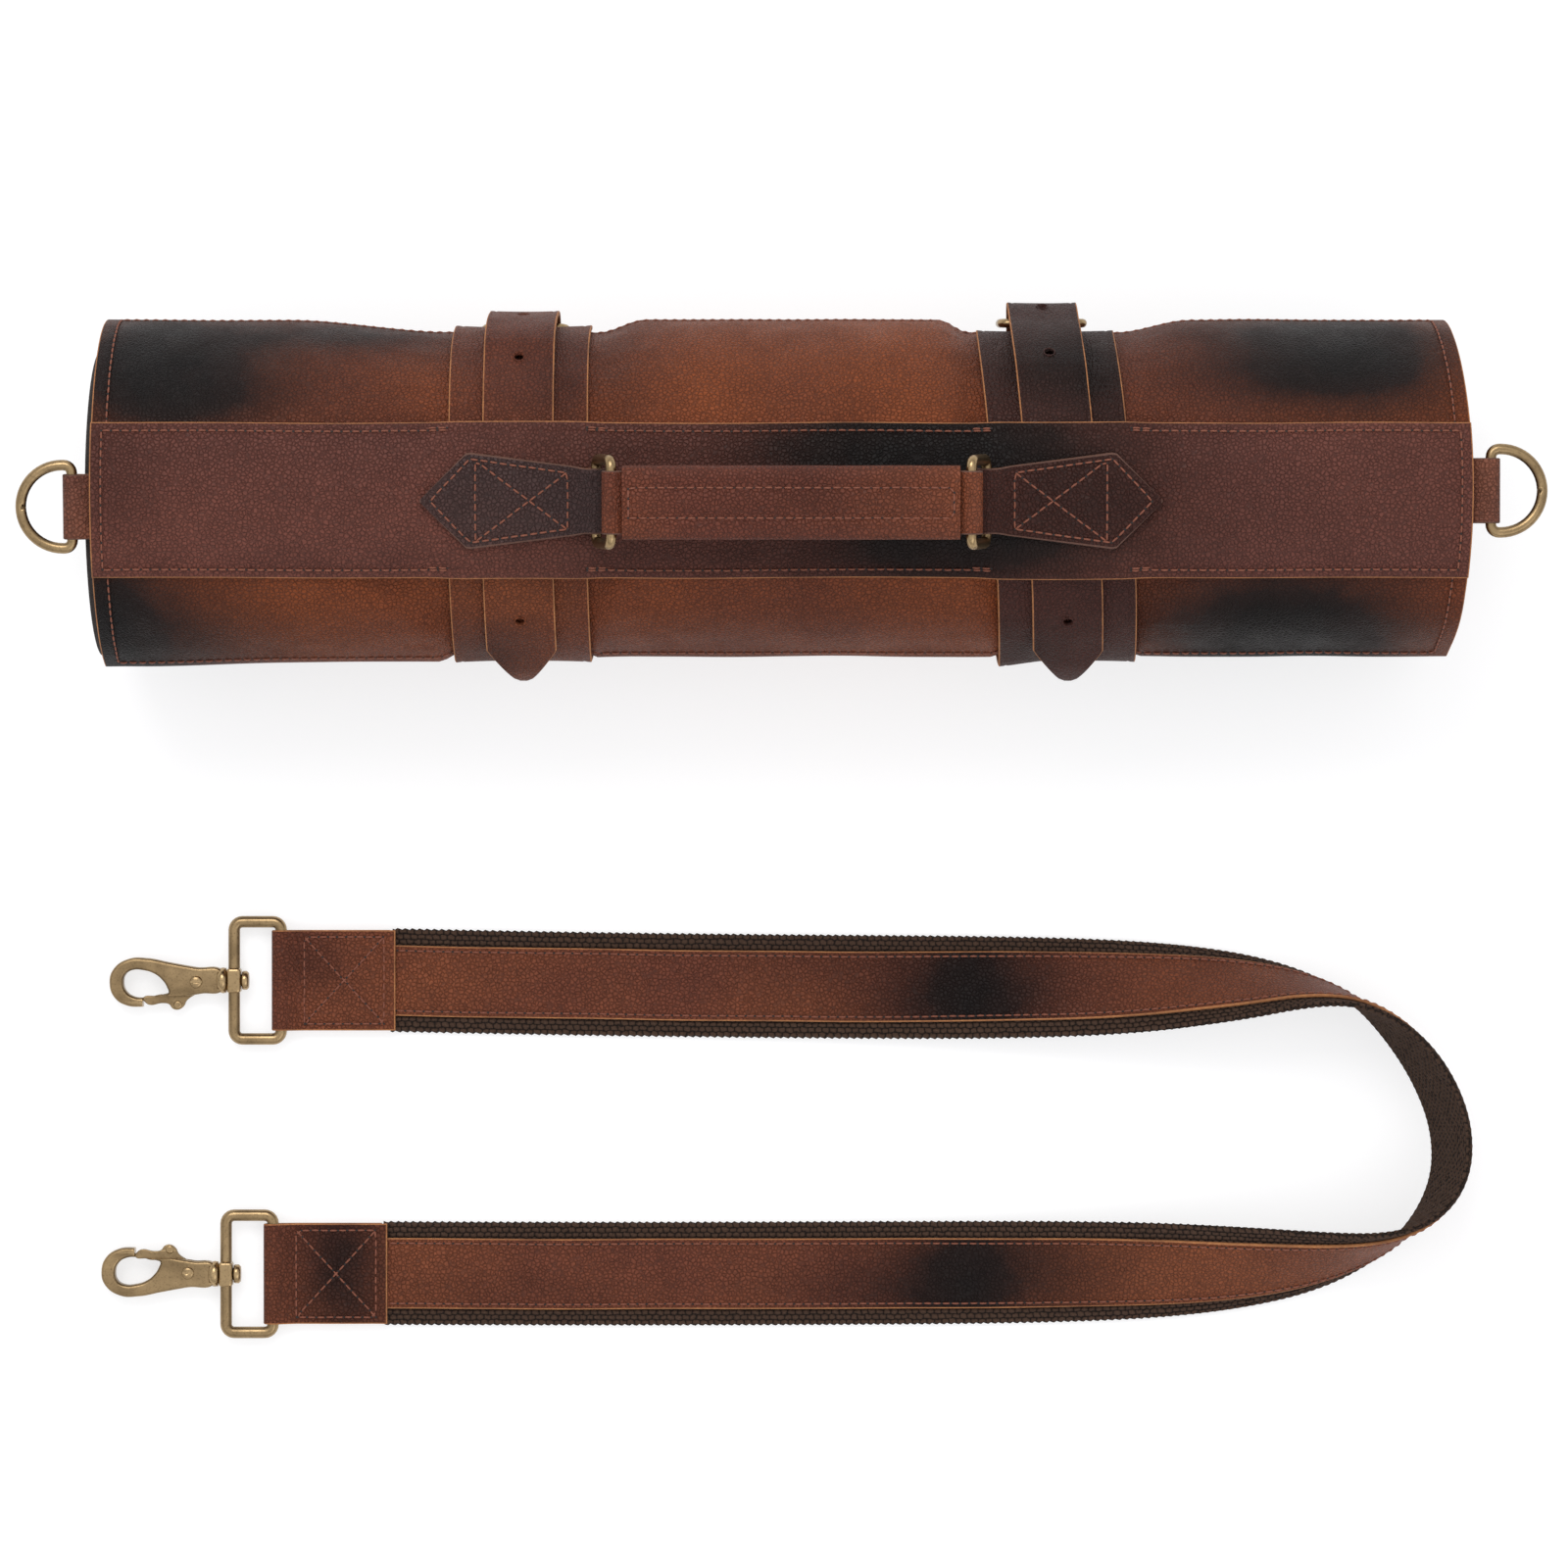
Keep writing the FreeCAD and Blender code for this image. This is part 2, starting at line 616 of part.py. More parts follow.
def rounded_route(points, rolls):
    """Straight runs joined by tangent arcs, as (point, direction, roll) stations."""
    runs = [b.sub(a) for a, b in zip(points, points[1:])]
    stations = [(points[0], V(runs[0]).normalize(), rolls[0])]
    for i in range(1, len(points) - 1):
        into = V(runs[i - 1]).normalize()
        out = V(runs[i]).normalize()
        turn = into.getAngle(out)
        reach = 0.45 * min(runs[i - 1].Length, runs[i].Length)
        radius = reach / tan(turn / 2)
        print("corner", i, "radius %.0f mm" % radius, "turn %.1f degrees" % (turn * 180 / pi))
        start = points[i].sub(into * reach)
        centre_way = out.sub(into).normalize()
        centre = points[i].add(centre_way * (radius / cos(turn / 2)))
        steps = max(2, ceil(turn * 180 / pi / 4))
        axis = into.cross(out)
        roll_in = rolls[i] + (rolls[i - 1] - rolls[i]) * reach / runs[i - 1].Length
        roll_out = rolls[i] + (rolls[i + 1] - rolls[i]) * reach / runs[i].Length
        for step in range(steps + 1):
            share = step / steps
            swing = FreeCAD.Rotation(axis, turn * share * 180 / pi)
            spot = centre.add(swing.multVec(start.sub(centre)))
            roll = (1 - share) ** 2 * roll_in + 2 * share * (1 - share) * rolls[i] + share ** 2 * roll_out
            stations.append((spot, swing.multVec(into), roll))
    stations.append((points[-1], V(runs[-1]).normalize(), rolls[-1]))
    return stations


def ribbon(stations, width, thickness, lift):
    """A flat ribbon through the stations, lifted off the middle line towards its facing side."""
    outlines = []
    for spot, direction, roll in stations:
        inward = direction.cross(Z_AXIS).normalize()
        angle = radians(roll)
        across = inward * cos(angle) + Z_AXIS * sin(angle)
        facing = across.cross(direction).normalize()
        if facing.dot(Z_AXIS * cos(angle) - inward * sin(angle)) < 0:
            facing = facing * -1
        corners = []
        for side, level in ((-1, -1), (1, -1), (1, 1), (-1, 1), (-1, -1)):
            offset = across * (side * width / 2) + facing * (lift + level * thickness / 2)
            corners.append(spot.add(offset))
        outlines.append(Part.makePolygon(corners))
    return Part.makeLoft(outlines, True, True)


def make_webbing():
    points = [webbing_middle(*corner) for corner in STRAP_ROUTE]
    rolls = [roll for _, _, roll in STRAP_ROUTE]
    stations = rounded_route(points, rolls)
    webbing = ribbon(stations, WEBBING_WIDTH, WEBBING, 0.0)
    length = sum(a[0].distanceToPoint(b[0]) for a, b in zip(stations, stations[1:]))
    section = WEBBING_WIDTH * WEBBING
    print("webbing length %.0f mm" % length, "volume share %.3f" % (webbing.Volume / section / length))
    facing_lift = WEBBING / 2 + 0.1 + THIN_LEATHER / 2
    add("strap_webbing", webbing)
    add("strap_facing", ribbon(stations, FACING_WIDTH, THIN_LEATHER, facing_lift))


def strap_chape():
    """Chape at the origin, its sewn end at x = 0 and its eye round the loop's bar towards -X."""
    low = THIN_LEATHER / 2 + 0.02
    high = low + THIN_LEATHER + WEBBING + 0.2
    bar_x = -STRAP_CHAPE_LENGTH - 5.5
    low_tail = [(x, low) for x in (-0.6, -STRAP_CHAPE_LENGTH / 2, -STRAP_CHAPE_LENGTH + 3)]
    high_tail = [(x, high) for x in (-STRAP_CHAPE_LENGTH + 3, -STRAP_CHAPE_LENGTH / 2, -0.6)]
    radius = LOOP_WIRE + PIN_CLEARANCE + THIN_LEATHER / 2
    path = eye_path(low_tail, high_tail, (bar_x, LOOP_AXIS_Z), radius, -1)
    chape = fold_along_y(path, THIN_LEATHER, STRAP_CHAPE_WIDTH)
    trim = (STRAP_CHAPE_WIDTH - STRAP_FOLD_WIDTH) / 2
    for side in (-1, 1):
        edge = side * (STRAP_CHAPE_WIDTH / 2 - trim / 2)
        chape = chape.cut(block((bar_x - 6, -STRAP_CHAPE_LENGTH + 1),
                                (edge - trim / 2, edge + trim / 2), (-1, 12)))
    return chape


def strap_end():
    """The end of the webbing that is sewn inside a chape."""
    low = THIN_LEATHER + 0.12
    return block((-STRAP_CHAPE_LENGTH + 4, -0.6), (-WEBBING_WIDTH / 2, WEBBING_WIDTH / 2),
                 (low, low + WEBBING))


# ---- snap hook -----------------------------------------------------------------------------

def flat_plate(outline, half):
    """Plate of a closed outline of (u, v) points joined by a smooth closed curve."""
    curve = Part.BSplineCurve()
    curve.interpolate([V(-u, v, -half) for u, v in outline], PeriodicFlag=True)
    return Part.Face(Part.Wire(curve.toShape())).extrude(V(0, 0, 2 * half))


HOOK_OUTER = (
    (4.0, 4.3), (14.0, 5.3), (24.0, 6.8), (32.0, 8.2), (39.0, 7.9), (44.5, 4.0), (45.8, -1.0),
    (44.0, -6.3), (39.6, -9.2), (34.0, -9.7), (27.0, -9.0), (20.0, -6.4), (12.0, -5.3), (4.0, -4.4),
)
HOOK_EYE = (
    (37.0, 3.9), (33.0, 3.7), (29.5, 2.6), (26.6, 0.4), (24.6, -2.6), (24.2, -4.6), (27.5, -5.2),
    (32.0, -6.1), (36.5, -6.0), (39.6, -4.0), (40.7, -0.7), (39.8, 2.4),
)
GATE_OUTLINE = (
    (11.0, -0.5), (12.0, 1.8), (14.2, 2.2), (16.4, 1.0), (19.0, -2.2), (23.5, -4.4), (29.0, -5.6),
    (33.6, -6.6), (32.9, -7.9), (31.3, -9.0), (26.0, -8.3), (20.0, -7.3), (14.0, -5.2), (11.4, -3.0),
)


def hook_body():
    """Cast hook with its swivel post. The side towards -v is split to take the gate."""
    plate = flat_plate(HOOK_OUTER, HOOK_HALF).cut(flat_plate(HOOK_EYE, HOOK_HALF + 1))
    plate = plate.cut(block((-3.2, 6), (-9, 9), (-5, 5)))
    shoulder = Part.makeCylinder(4.5, 1.2, V(-2.75, 0, 0), V(-1, 0, 0))
    post = Part.makeCylinder(2.2, 8.0, V(-4, 0, 0), X_AXIS)
    head = Part.makeCylinder(3.5, 2.4, V(3.0, 0, 0), X_AXIS)
    head_rim = [e for e in head.Edges if e.BoundBox.XLength < 0.01 and e.BoundBox.XMax > 5]
    head = head.makeFillet(0.7, head_rim)
    body = plate.fuse([shoulder, post, head])
    slot = block((-30.5, -7.5), (-12, 2.9), (-HOOK_SLOT_HALF, HOOK_SLOT_HALF))
    gap_face = Part.Face(Part.makePolygon([
        V(-u, v, -5) for u, v in ((34.9, -4.0), (34.9, -6.2), (31.6, -9.4), (31.2, -12.0),
                                  (17.5, -12.0), (18.0, -6.4), (22.5, -6.0), (23.0, -4.0), (34.9, -4.0))]))
    body = body.cut([slot, gap_face.extrude(V(0, 0, 10))])
    hole = Part.makeCylinder(RIVET_RADIUS, 12, V(-RIVET_U, RIVET_V, -6))
    return body.cut(hole)


def hook_rivet():
    shaft = Part.makeCylinder(RIVET_RADIUS, 2 * HOOK_HALF, V(-RIVET_U, RIVET_V, -HOOK_HALF))
    pieces = []
    for side in (-1, 1):
        head = Part.makeCylinder(2.3, 0.7, V(-RIVET_U, RIVET_V, side * HOOK_HALF), V(0, 0, side))
        rim = [e for e in head.Edges if abs(e.BoundBox.Center.z) > HOOK_HALF + 0.6]
        pieces.append(head.makeFillet(0.4, rim))
    return shaft.fuse(pieces)


def hook_gate():
    """Sprung gate on the rivet, with the thumb knob that opens it."""
    plate = flat_plate(GATE_OUTLINE, GATE_HALF)
    nose_face = Part.Face(Part.makePolygon([
        V(-u, v, -5) for u, v in ((36.0, -7.2), (34.2, -6.4), (31.1, -9.3), (33.0, -11.0), (36.0, -7.2))]))
    plate = plate.cut(nose_face.extrude(V(0, 0, 10)))
    knob = Part.makeCylinder(1.9, 2 * GATE_HALF, V(-20.6, -8.3, -GATE_HALF))
    bore = Part.makeCylinder(RIVET_RADIUS + PIN_CLEARANCE, 8, V(-RIVET_U, RIVET_V, -4))
    spring_room = Part.makeCylinder(2.45, 2.0, V(-RIVET_U, RIVET_V, -1))
    return plate.fuse(knob).cut(bore.fuse(spring_room))


def gate_spring():
    """Torsion spring wound on the rivet inside the gate."""
    coils = []
    for z in (-0.66, 0.0, 0.66):
        coils.append(Part.makeTorus(2.0, 0.3, V(-RIVET_U, RIVET_V, z)))
    bridge = Part.makeCylinder(0.3, 1.3, V(-RIVET_U + 2.0, RIVET_V, -0.65))
    return coils[0].fuse(coils[1:] + [bridge])


def swivel_loop():
    """Loop with a square boss for the hook's post, its bar for the chape at x = LOOP_DEPTH."""
    loop = wire_loop(LOOP_HALF, LOOP_DEPTH, 6.5, 2.8, LOOP_WIRE)
    boss = block((-2.6, 2.6), (-5.9, 5.9), (-3.4, 3.4))
    boss = boss.makeChamfer(0.8, boss.Edges)
    bore = Part.makeCylinder(2.2 + PIN_CLEARANCE, 12, V(-6, 0, 0), X_AXIS)
    return loop.fuse(boss).cut(bore)


def make_shoulder_strap():
    make_webbing()
    ends = []
    for name, x, y, gate_side in STRAP_ENDS:
        add("strap_chape_" + name, moved(strap_chape(), x, y))
        ends.append(moved(strap_end(), x, y))
        pivot_x = x - STRAP_CHAPE_LENGTH - 5.5
        pieces = (("swivel_loop_", swivel_loop()), ("hook_body_", hook_body()),
                  ("hook_rivet_", hook_rivet()), ("hook_gate_", hook_gate()),
                  ("gate_spring_", gate_spring()))
        for piece_name, shape in pieces:
            faced = shape if gate_side < 0 else turned(shape, V(0, 0, 0), X_AXIS, 180)
            add(piece_name + name, moved(faced, pivot_x - LOOP_DEPTH, y, LOOP_AXIS_Z))
    add("strap_ends", Part.makeCompound(ends))


make_roll()
make_belts()
make_end_rings()
make_handle()
make_shoulder_strap()

os.makedirs("parts", exist_ok=True)
for node_name, node_shape in nodes.items():
    if not node_shape.isValid():
        print("not valid:", node_name)
    node_shape.exportStep("parts/" + node_name + ".step")
print(len(nodes), "nodes")
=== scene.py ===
from bisect import bisect_left
from itertools import accumulate
from math import acos, atan2, ceil, cos, exp, hypot, pi, sin, sqrt, tan

import bmesh
import bpy
from mathutils import Matrix, Vector, noise


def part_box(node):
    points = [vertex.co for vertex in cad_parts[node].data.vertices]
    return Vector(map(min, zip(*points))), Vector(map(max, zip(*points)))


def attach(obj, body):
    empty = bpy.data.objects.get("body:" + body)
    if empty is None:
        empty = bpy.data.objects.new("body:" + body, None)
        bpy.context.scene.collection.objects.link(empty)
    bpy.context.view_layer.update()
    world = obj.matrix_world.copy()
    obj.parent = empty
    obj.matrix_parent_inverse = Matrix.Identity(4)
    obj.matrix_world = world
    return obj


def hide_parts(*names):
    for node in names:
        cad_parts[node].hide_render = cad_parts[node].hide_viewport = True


# Looks of the leather brush roll case. Lengths are in millimetres until MM turns them into
# metres. Angles round the roll are in degrees from the top, positive towards the back (+Y).

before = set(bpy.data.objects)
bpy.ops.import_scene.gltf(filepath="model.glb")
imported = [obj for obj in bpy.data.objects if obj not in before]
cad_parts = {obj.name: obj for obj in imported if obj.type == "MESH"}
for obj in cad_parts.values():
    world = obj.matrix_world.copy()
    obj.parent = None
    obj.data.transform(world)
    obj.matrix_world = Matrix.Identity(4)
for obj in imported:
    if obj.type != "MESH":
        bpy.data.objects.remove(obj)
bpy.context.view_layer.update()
MM = 0.001
DEGREE = pi / 180
UP = Vector((0, 0, 1))

# Roll, as the frame has it
HALF_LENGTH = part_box("outer_panel")[1].x / MM
LEATHER, THIN, CANVAS = 1.8, 1.3, 1.0
ROLL_RADIUS, COVER_RADIUS = 63.0, 61.0
PRESS = 3.3
AXIS_HEIGHT = COVER_RADIUS - PRESS - 0.06
PITCH = 12.0
COVER_START, PITCH_START, COVER_END = 76.0, 234.0, 960.0
PANEL_HEM, PANEL_SEAM = -78.0, 86.0
BELT_PINCH = 4.5
FRONT_SAG, END_SAG = 3.6, 1.5
END_DRAW = 4.0
BAND_FRONT, BAND_BACK = -29.3, 20.7
BAND_TILT = (BAND_FRONT + BAND_BACK) / 2
BAND_RADIUS = ROLL_RADIUS + 1.9

# Belts: name, x at the top, degrees askew, angle of the heel bar, how far the strap stands off it
BELTS = (("left", -92.5, 0.0, 99.0, 4.2), ("right", 98.0, 4.0, 86.0, 6.4))
BELT_MIDDLES = [belt[1] for belt in BELTS]
BASE_HALF, STRAP_HALF, CHAPE_HALF = 24.5, 12.5, 11.4
GROOVE_HALF = 27.0
# How far the leather takes to swell out again on the left and the right of each belt, and at the front
SLOPES = {"left": (58.0, 17.0), "right": (10.0, 26.0)}
FRONT_SLOPE = 5.5
BASE_MIDDLE = ROLL_RADIUS - BELT_PINCH + 0.3 + LEATHER / 2
PANEL_STEP = 2.0
STRAP_ON_BASE = BASE_MIDDLE + 2.05
STRAP_ON_CHAPE = STRAP_ON_BASE + 2.85
STRAP_AT_BACK = STRAP_ON_BASE - PANEL_STEP
STRAP_IN_BUCKLE, HEEL_RADIUS = 61.4, 61.95
STRAP_END, BASE_END = 216.0, -215.0
BUCKLE_WIRE, BUCKLE_DEPTH, PRONG_WIRE = 1.6, 23.0, 1.2
HOLE_ANGLES = (-48.0, -16.0, 16.0, 48.0, 80.0)
HOLE_RADIUS = 1.6

# Rings, tabs and handle
RING_WIRE, RING_HALF, RING_DEPTH, RING_CORNER = 1.9, 14.6, 18.0, 2.8
TAB_HALF = 11.4
END_BAR_X, TAB_ROOT_X = HALF_LENGTH + 6.6, HALF_LENGTH - 26.0
END_TABS = (("left", -1, -6.5), ("right", 1, -1.0))
HANDLE_X, HANDLE_BAR, HANDLE_LEAN, HANDLE_BAR_RADIUS = 3.4, 68.0, 18.1, 68.45
PATCH_TIP, PATCH_SHOULDER, PATCH_NECK = 129.7, 113.3, 76.0
PATCH_HALF, NECK_HALF = 17.0, 12.2
GRIP_HALF, GRIP_SIDE, GRIP_RISE, GRIP_STRAP_HALF = 58.5, 12.85, 4.5, 11.0
GRIP_ROW = 5.25
# Power of the grip's outline, which is squarer than an ellipse
GRIP_POWER = 0.62
GRIP_REACH = HANDLE_BAR - RING_DEPTH * sin(HANDLE_LEAN * DEGREE)
GRIP_LEVEL = AXIS_HEIGHT + HANDLE_BAR_RADIUS + RING_DEPTH * cos(HANDLE_LEAN * DEGREE)

# Shoulder strap and snap hooks
WEBBING_HALF, WEBBING, FACING_HALF = 19.0, 2.0, 13.0
RIB, YARN = 2.7, 1.9    # pitch of the webbing's weave along and across it
CHAPE_LENGTH, CHAPE_FOLD_HALF = 35.0, 18.5
LOOP_WIRE, LOOP_HALF, LOOP_DEPTH, LOOP_Z = 2.15, 21.6, 17.3, 4.7
STRAP_ENDS = (("1", -144.0, -176.2, 1), ("2", -147.0, -284.4, -1))
HOOK_HALF, GATE_HALF = 3.1, 1.3
RIVET_U, RIVET_V, RIVET_RADIUS = 13.8, -0.5, 1.5

STITCH = 3.4
THREAD = 0.34
LONG_SEAM = 2.5    # step between the points that a long seam follows


# ---- numbers ----------------------------------------------------------------------------

def smooth(low, high, value):
    """0 at low and 1 at high, which may lie either way round."""
    share = min(max((value - low) / (high - low), 0.0), 1.0)
    return share * share * (3 - 2 * share)


def linear(low, high, value):
    return max(value - low, 0.0) / (high - low)


def keyed(keys, value, ease=smooth):
    """Value between (position, value) keys."""
    for (low, first), (high, last) in zip(keys, keys[1:]):
        if value <= high:
            return first + (last - first) * ease(low, high, value)
    return keys[-1][1]


def bell(value, width):
    return exp(-(value / width) ** 2)


def spread(low, high, step):
    count = max(1, ceil((high - low) / step))
    return [low + (high - low) * i / count for i in range(count + 1)]


def ticks(low, high, step, marks=()):
    """Grid lines between two edges, closer together at the edges and beside each mark."""
    lines = spread(low, high, step)
    lines += [low + 0.14, low + 0.45, high - 0.45, high - 0.14]
    for mark in marks:
        lines += [mark - 0.8, mark, mark + 0.8]
    kept = []
    for line in sorted(lines):
        if not kept or line - kept[-1] > 0.1:
            kept.append(line)
    kept[-1] = high
    return kept


def near(value, marks, width=0.6):
    """1 on a mark, falling to 0 beside it."""
    return max(bell(value - m, width) for m in marks)


def wave(x, y, z, size, seed=0.0):
    """Smooth noise from -1 to 1 with bumps of about that size."""
    return noise.noise(Vector((x / size + seed, y / size - seed, z / size + 2 * seed)))


def distances(points):
    """How far along the points each of them is."""
    return [0.0, *accumulate((b - a).length for a, b in zip(points, points[1:]))]


class Line:
    """Points and the distance along them."""

    def __init__(self, points):
        self.points = points
        self.along = distances(points)
        self.length = self.along[-1]

    def locate(self, v):
        """The step that holds distance v, and the share of the way along it."""
        i = min(max(bisect_left(self.along, v) - 1, 0), len(self.along) - 2)
        return i, (v - self.along[i]) / max(self.along[i + 1] - self.along[i], 1e-6)

    def spot(self, v):
        i, share = self.locate(v)
        return self.points[i].lerp(self.points[i + 1], share)


# ---- round the roll ---------------------------------------------------------------------

def settled(radius, degrees):
    """Radius once the underside is pressed flat."""
    down = -cos(degrees * DEGREE)
    if down < 0.3:
        return radius
    flat = (radius - PRESS) / down
    return (radius + flat - sqrt((flat - radius) ** 2 + 0.25)) / 2


def on_roll(x, radius, degrees):
    reach = settled(radius, degrees)
    x -= END_DRAW * smooth(140, HALF_LENGTH, x) * sin(degrees * DEGREE) ** 2
    return Vector((x, reach * sin(degrees * DEGREE), AXIS_HEIGHT + reach * cos(degrees * DEGREE)))


def pinch(x, degrees):
    """How far the belts draw the roll in, and how far the front sags between them."""
    depth = 0.0
    across = ROLL_RADIUS * sin(degrees * DEGREE)
    turned = (degrees + 180) % 360 - 180
    front = smooth(-20, -56, turned) * smooth(-150, -110, turned)
    for side, middle, skew, *_ in BELTS:
        away = x - middle + tan(skew * DEGREE) * across
        slope = SLOPES[side][0 if away < 0 else 1]
        slope += (FRONT_SLOPE - slope) * front
        half = GROOVE_HALF + (BASE_HALF - GROOVE_HALF) * front
        depth = max(depth, BELT_PINCH * (1 - smooth(half, half + slope, abs(away))))
    sag = smooth(-40, -72, turned) * smooth(-150, -100, turned)
    inner = smooth(-110, -50, x)
    return max(depth, sag * (FRONT_SAG * inner + END_SAG * (1 - inner) * smooth(-236, -170, x)))


# ---- meshes -----------------------------------------------------------------------------

def stand(name, data):
    """New object in the scene."""
    made = bpy.data.objects.new(name, data)
    bpy.context.scene.collection.objects.link(made)
    return made


def new_object(name, points, faces, materials, indices=None):
    mesh = bpy.data.meshes.new(name)
    mesh.from_pydata([tuple(c * MM for c in p) for p in points], [], faces)
    for material in materials:
        mesh.materials.append(material)
    if indices:
        mesh.polygons.foreach_set("material_index", indices)
    mesh.polygons.foreach_set("use_smooth", [True] * len(mesh.polygons))
    mesh.validate()
    mesh.update()
    return stand(name, mesh)


def finish_piece(made, body, slot, *nodes):
    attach(made, body)
    if nodes:
        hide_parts(*nodes)
    return made


def burnish_of(point, patches):
    """How dark the leather is burnished at a point, from (x, y, half x, half y, strength) patches."""
    dark = 0.0
    for x, y, wide, deep, strength in patches:
        reach = ((point[0] - x) / wide) ** 2 + ((point[1] - y) / deep) ** 2
        uneven = 0.1 * wave(point[0], point[1], point[2], 42.0, x)
        dark = 1 - (1 - dark) * (1 - strength * exp(-0.8 * max(reach + uneven, 0.0)))
    return dark


def paint(made, patches):
    """Stores the burnish as a value on each vertex."""
    layer = made.data.attributes.new("burnish", "FLOAT", "POINT")
    values = [burnish_of([c / MM for c in v.co], patches) for v in made.data.vertices]
    layer.data.foreach_set("value", values)
    return made


def recalculate(made):
    work = bmesh.new()
    work.from_mesh(made.data)
    bmesh.ops.recalc_face_normals(work, faces=work.faces)
    work.to_mesh(made.data)
    work.free()


def sheet(name, place, us, vs, thickness, materials, groove=None, v_mm=1.0, half=None):
    """Closed sheet over a grid. place(u, v, h) is the point h above the middle of the leather.
    With half(v), u runs from -1 to 1 and is stretched to that half width.
    Materials are for the upper face, the cut edges and the lower face."""
    rows, columns = len(vs), len(us)
    points = []
    for side in (1, -1):
        for v in vs:
            stretch = half(v) if half else 1.0
            for u in us:
                to_edge = (1 - abs(u)) * stretch if half else min(u - us[0], us[-1] - u)
                to_edge = min(to_edge, (v - vs[0]) * v_mm, (vs[-1] - v) * v_mm)
                round_off = min(max(to_edge, 0.0) / 0.45, 1.0)
                height = thickness / 2 * (0.45 + 0.55 * sqrt(1 - (1 - round_off) ** 2))
                if side > 0 and groove:
                    height -= groove(u * stretch, v)
                points.append(place(u * stretch, v, side * height))
    faces, indices = [], []
    lower = rows * columns

    def put(quad, index):
        faces.append(quad)
        indices.append(index)

    for r in range(rows - 1):
        for c in range(columns - 1):
            a = r * columns + c
            b = a + 1
            rim = r < 2 or c < 2 or r > rows - 4 or c > columns - 4
            put((a, b, b + columns, a + columns), int(rim))
            put((lower + a, lower + a + columns, lower + b + columns, lower + b), 2)
        for c, turn in ((0, 1), (columns - 1, -1)):
            a = r * columns + c
            put((a, a + columns, lower + a + columns, lower + a)[::turn], 1)
    for c in range(columns - 1):
        for r, turn in ((0, -1), (rows - 1, 1)):
            a = r * columns + c
            put((a, a + 1, lower + a + 1, lower + a)[::turn], 1)
    made = new_object(name, points, faces, materials, indices)
    recalculate(made)
    return made


def leather_piece(name, body, slot, nodes, place, us, vs, thickness, faces, patches=(), **shape):
    """A burnished sheet that stands for CAD nodes and rides on their body."""
    made = sheet(name, place, us, vs, thickness, faces, **shape)
    return finish_piece(paint(made, patches), body, slot, *nodes)


def circle(middle, first, second, sides, size=1.0):
    turns = [2 * pi * k / sides for k in range(sides)]
    return [middle + first * (size * cos(t)) + second * (size * sin(t)) for t in turns]


def ring_faces(rings, sides, base=0, capped=True):
    """Quads between rings of points, and a face over each end."""
    faces = []
    for i in range(rings - 1):
        start = base + i * sides
        for k in range(sides):
            a, b = start + k, start + (k + 1) % sides
            faces.append((a, b, b + sides, a + sides))
    if capped:
        faces.append(tuple(base + k for k in reversed(range(sides))))
        faces.append(tuple(base + (rings - 1) * sides + k for k in range(sides)))
    return faces


def tube(name, path, radius, material, closed=True, sides=16):
    """Round wire along points. radius is a number or a function of the share along the path."""
    count = len(path)
    points = []
    side_way = None
    for i, spot in enumerate(path):
        after = path[(i + 1) % count] if closed or i + 1 < count else spot
        before = path[i - 1] if closed or i > 0 else spot
        forward = (after - before).normalized()
        if side_way is None:
            side_way = forward.orthogonal().normalized()
        side_way = (side_way - forward * side_way.dot(forward)).normalized()
        size = radius(i / (count - 1)) if callable(radius) else radius
        points += circle(spot, side_way, forward.cross(side_way), sides, size)
    faces = ring_faces(count, sides, capped=not closed)
    if closed:
        last, first = points[-sides:], points[:sides]
        gaps = [(last[0] - f).length for f in first]
        shift = gaps.index(min(gaps))
        start = (count - 1) * sides
        for k in range(sides):
            faces.append((start + k, start + (k + 1) % sides, (k + 1 + shift) % sides, (k + shift) % sides))
    return new_object(name, points, faces, [material])


def lathe(name, profile, centre, axis, material, sides=24):
    """Turned piece: profile is (along, radius) from one end to the other, round an axis."""
    forward = Vector(axis).normalized()
    first = forward.orthogonal().normalized()
    points = []
    for along, radius in profile:
        points += circle(Vector(centre) + forward * along, first, forward.cross(first), sides, radius)
    return new_object(name, points, ring_faces(len(profile), sides), [material])


def joined(name, parts):
    """One object from several, keeping their materials."""
    work = bmesh.new()
    materials = []
    for part in parts:
        start = len(work.faces)
        work.from_mesh(part.data)
        work.faces.ensure_lookup_table()
        for face in work.faces[start:]:
            material = part.data.materials[face.material_index]
            if material not in materials:
                materials.append(material)
            face.material_index = materials.index(material)
    mesh = bpy.data.meshes.new(name)
    work.to_mesh(mesh)
    work.free()
    for part in parts:
        bpy.data.objects.remove(part)
    for material in materials:
        mesh.materials.append(material)
    return stand(name, mesh)


def applied(made):
    """Applies a piece's modifiers for good."""
    graph = bpy.context.evaluated_depsgraph_get()
    graph.update()
    mesh = bpy.data.meshes.new_from_object(made.evaluated_get(graph))
    made.modifiers.clear()
    made.data = mesh
    return made


def cut(made, cutters):
    """Takes the cutters out of a piece for good."""
    for cutter in cutters:
        modifier = made.modifiers.new("cut", "BOOLEAN")
        modifier.solver = "EXACT"
        modifier.object = cutter
    applied(made)
    for cutter in cutters:
        bpy.data.objects.remove(cutter)


def bar(name, low, high, material):
    bpy.ops.mesh.primitive_cube_add(size=1)
    made = bpy.context.object
    made.name = name
    low, high = Vector(low), Vector(high)
    made.data.transform(Matrix.Diagonal((*(high - low) * MM, 1)))
    made.data.transform(Matrix.Translation((low + high) / 2 * MM))
    made.data.materials.append(material)
    return made


# ---- stitching --------------------------------------------------------------------------

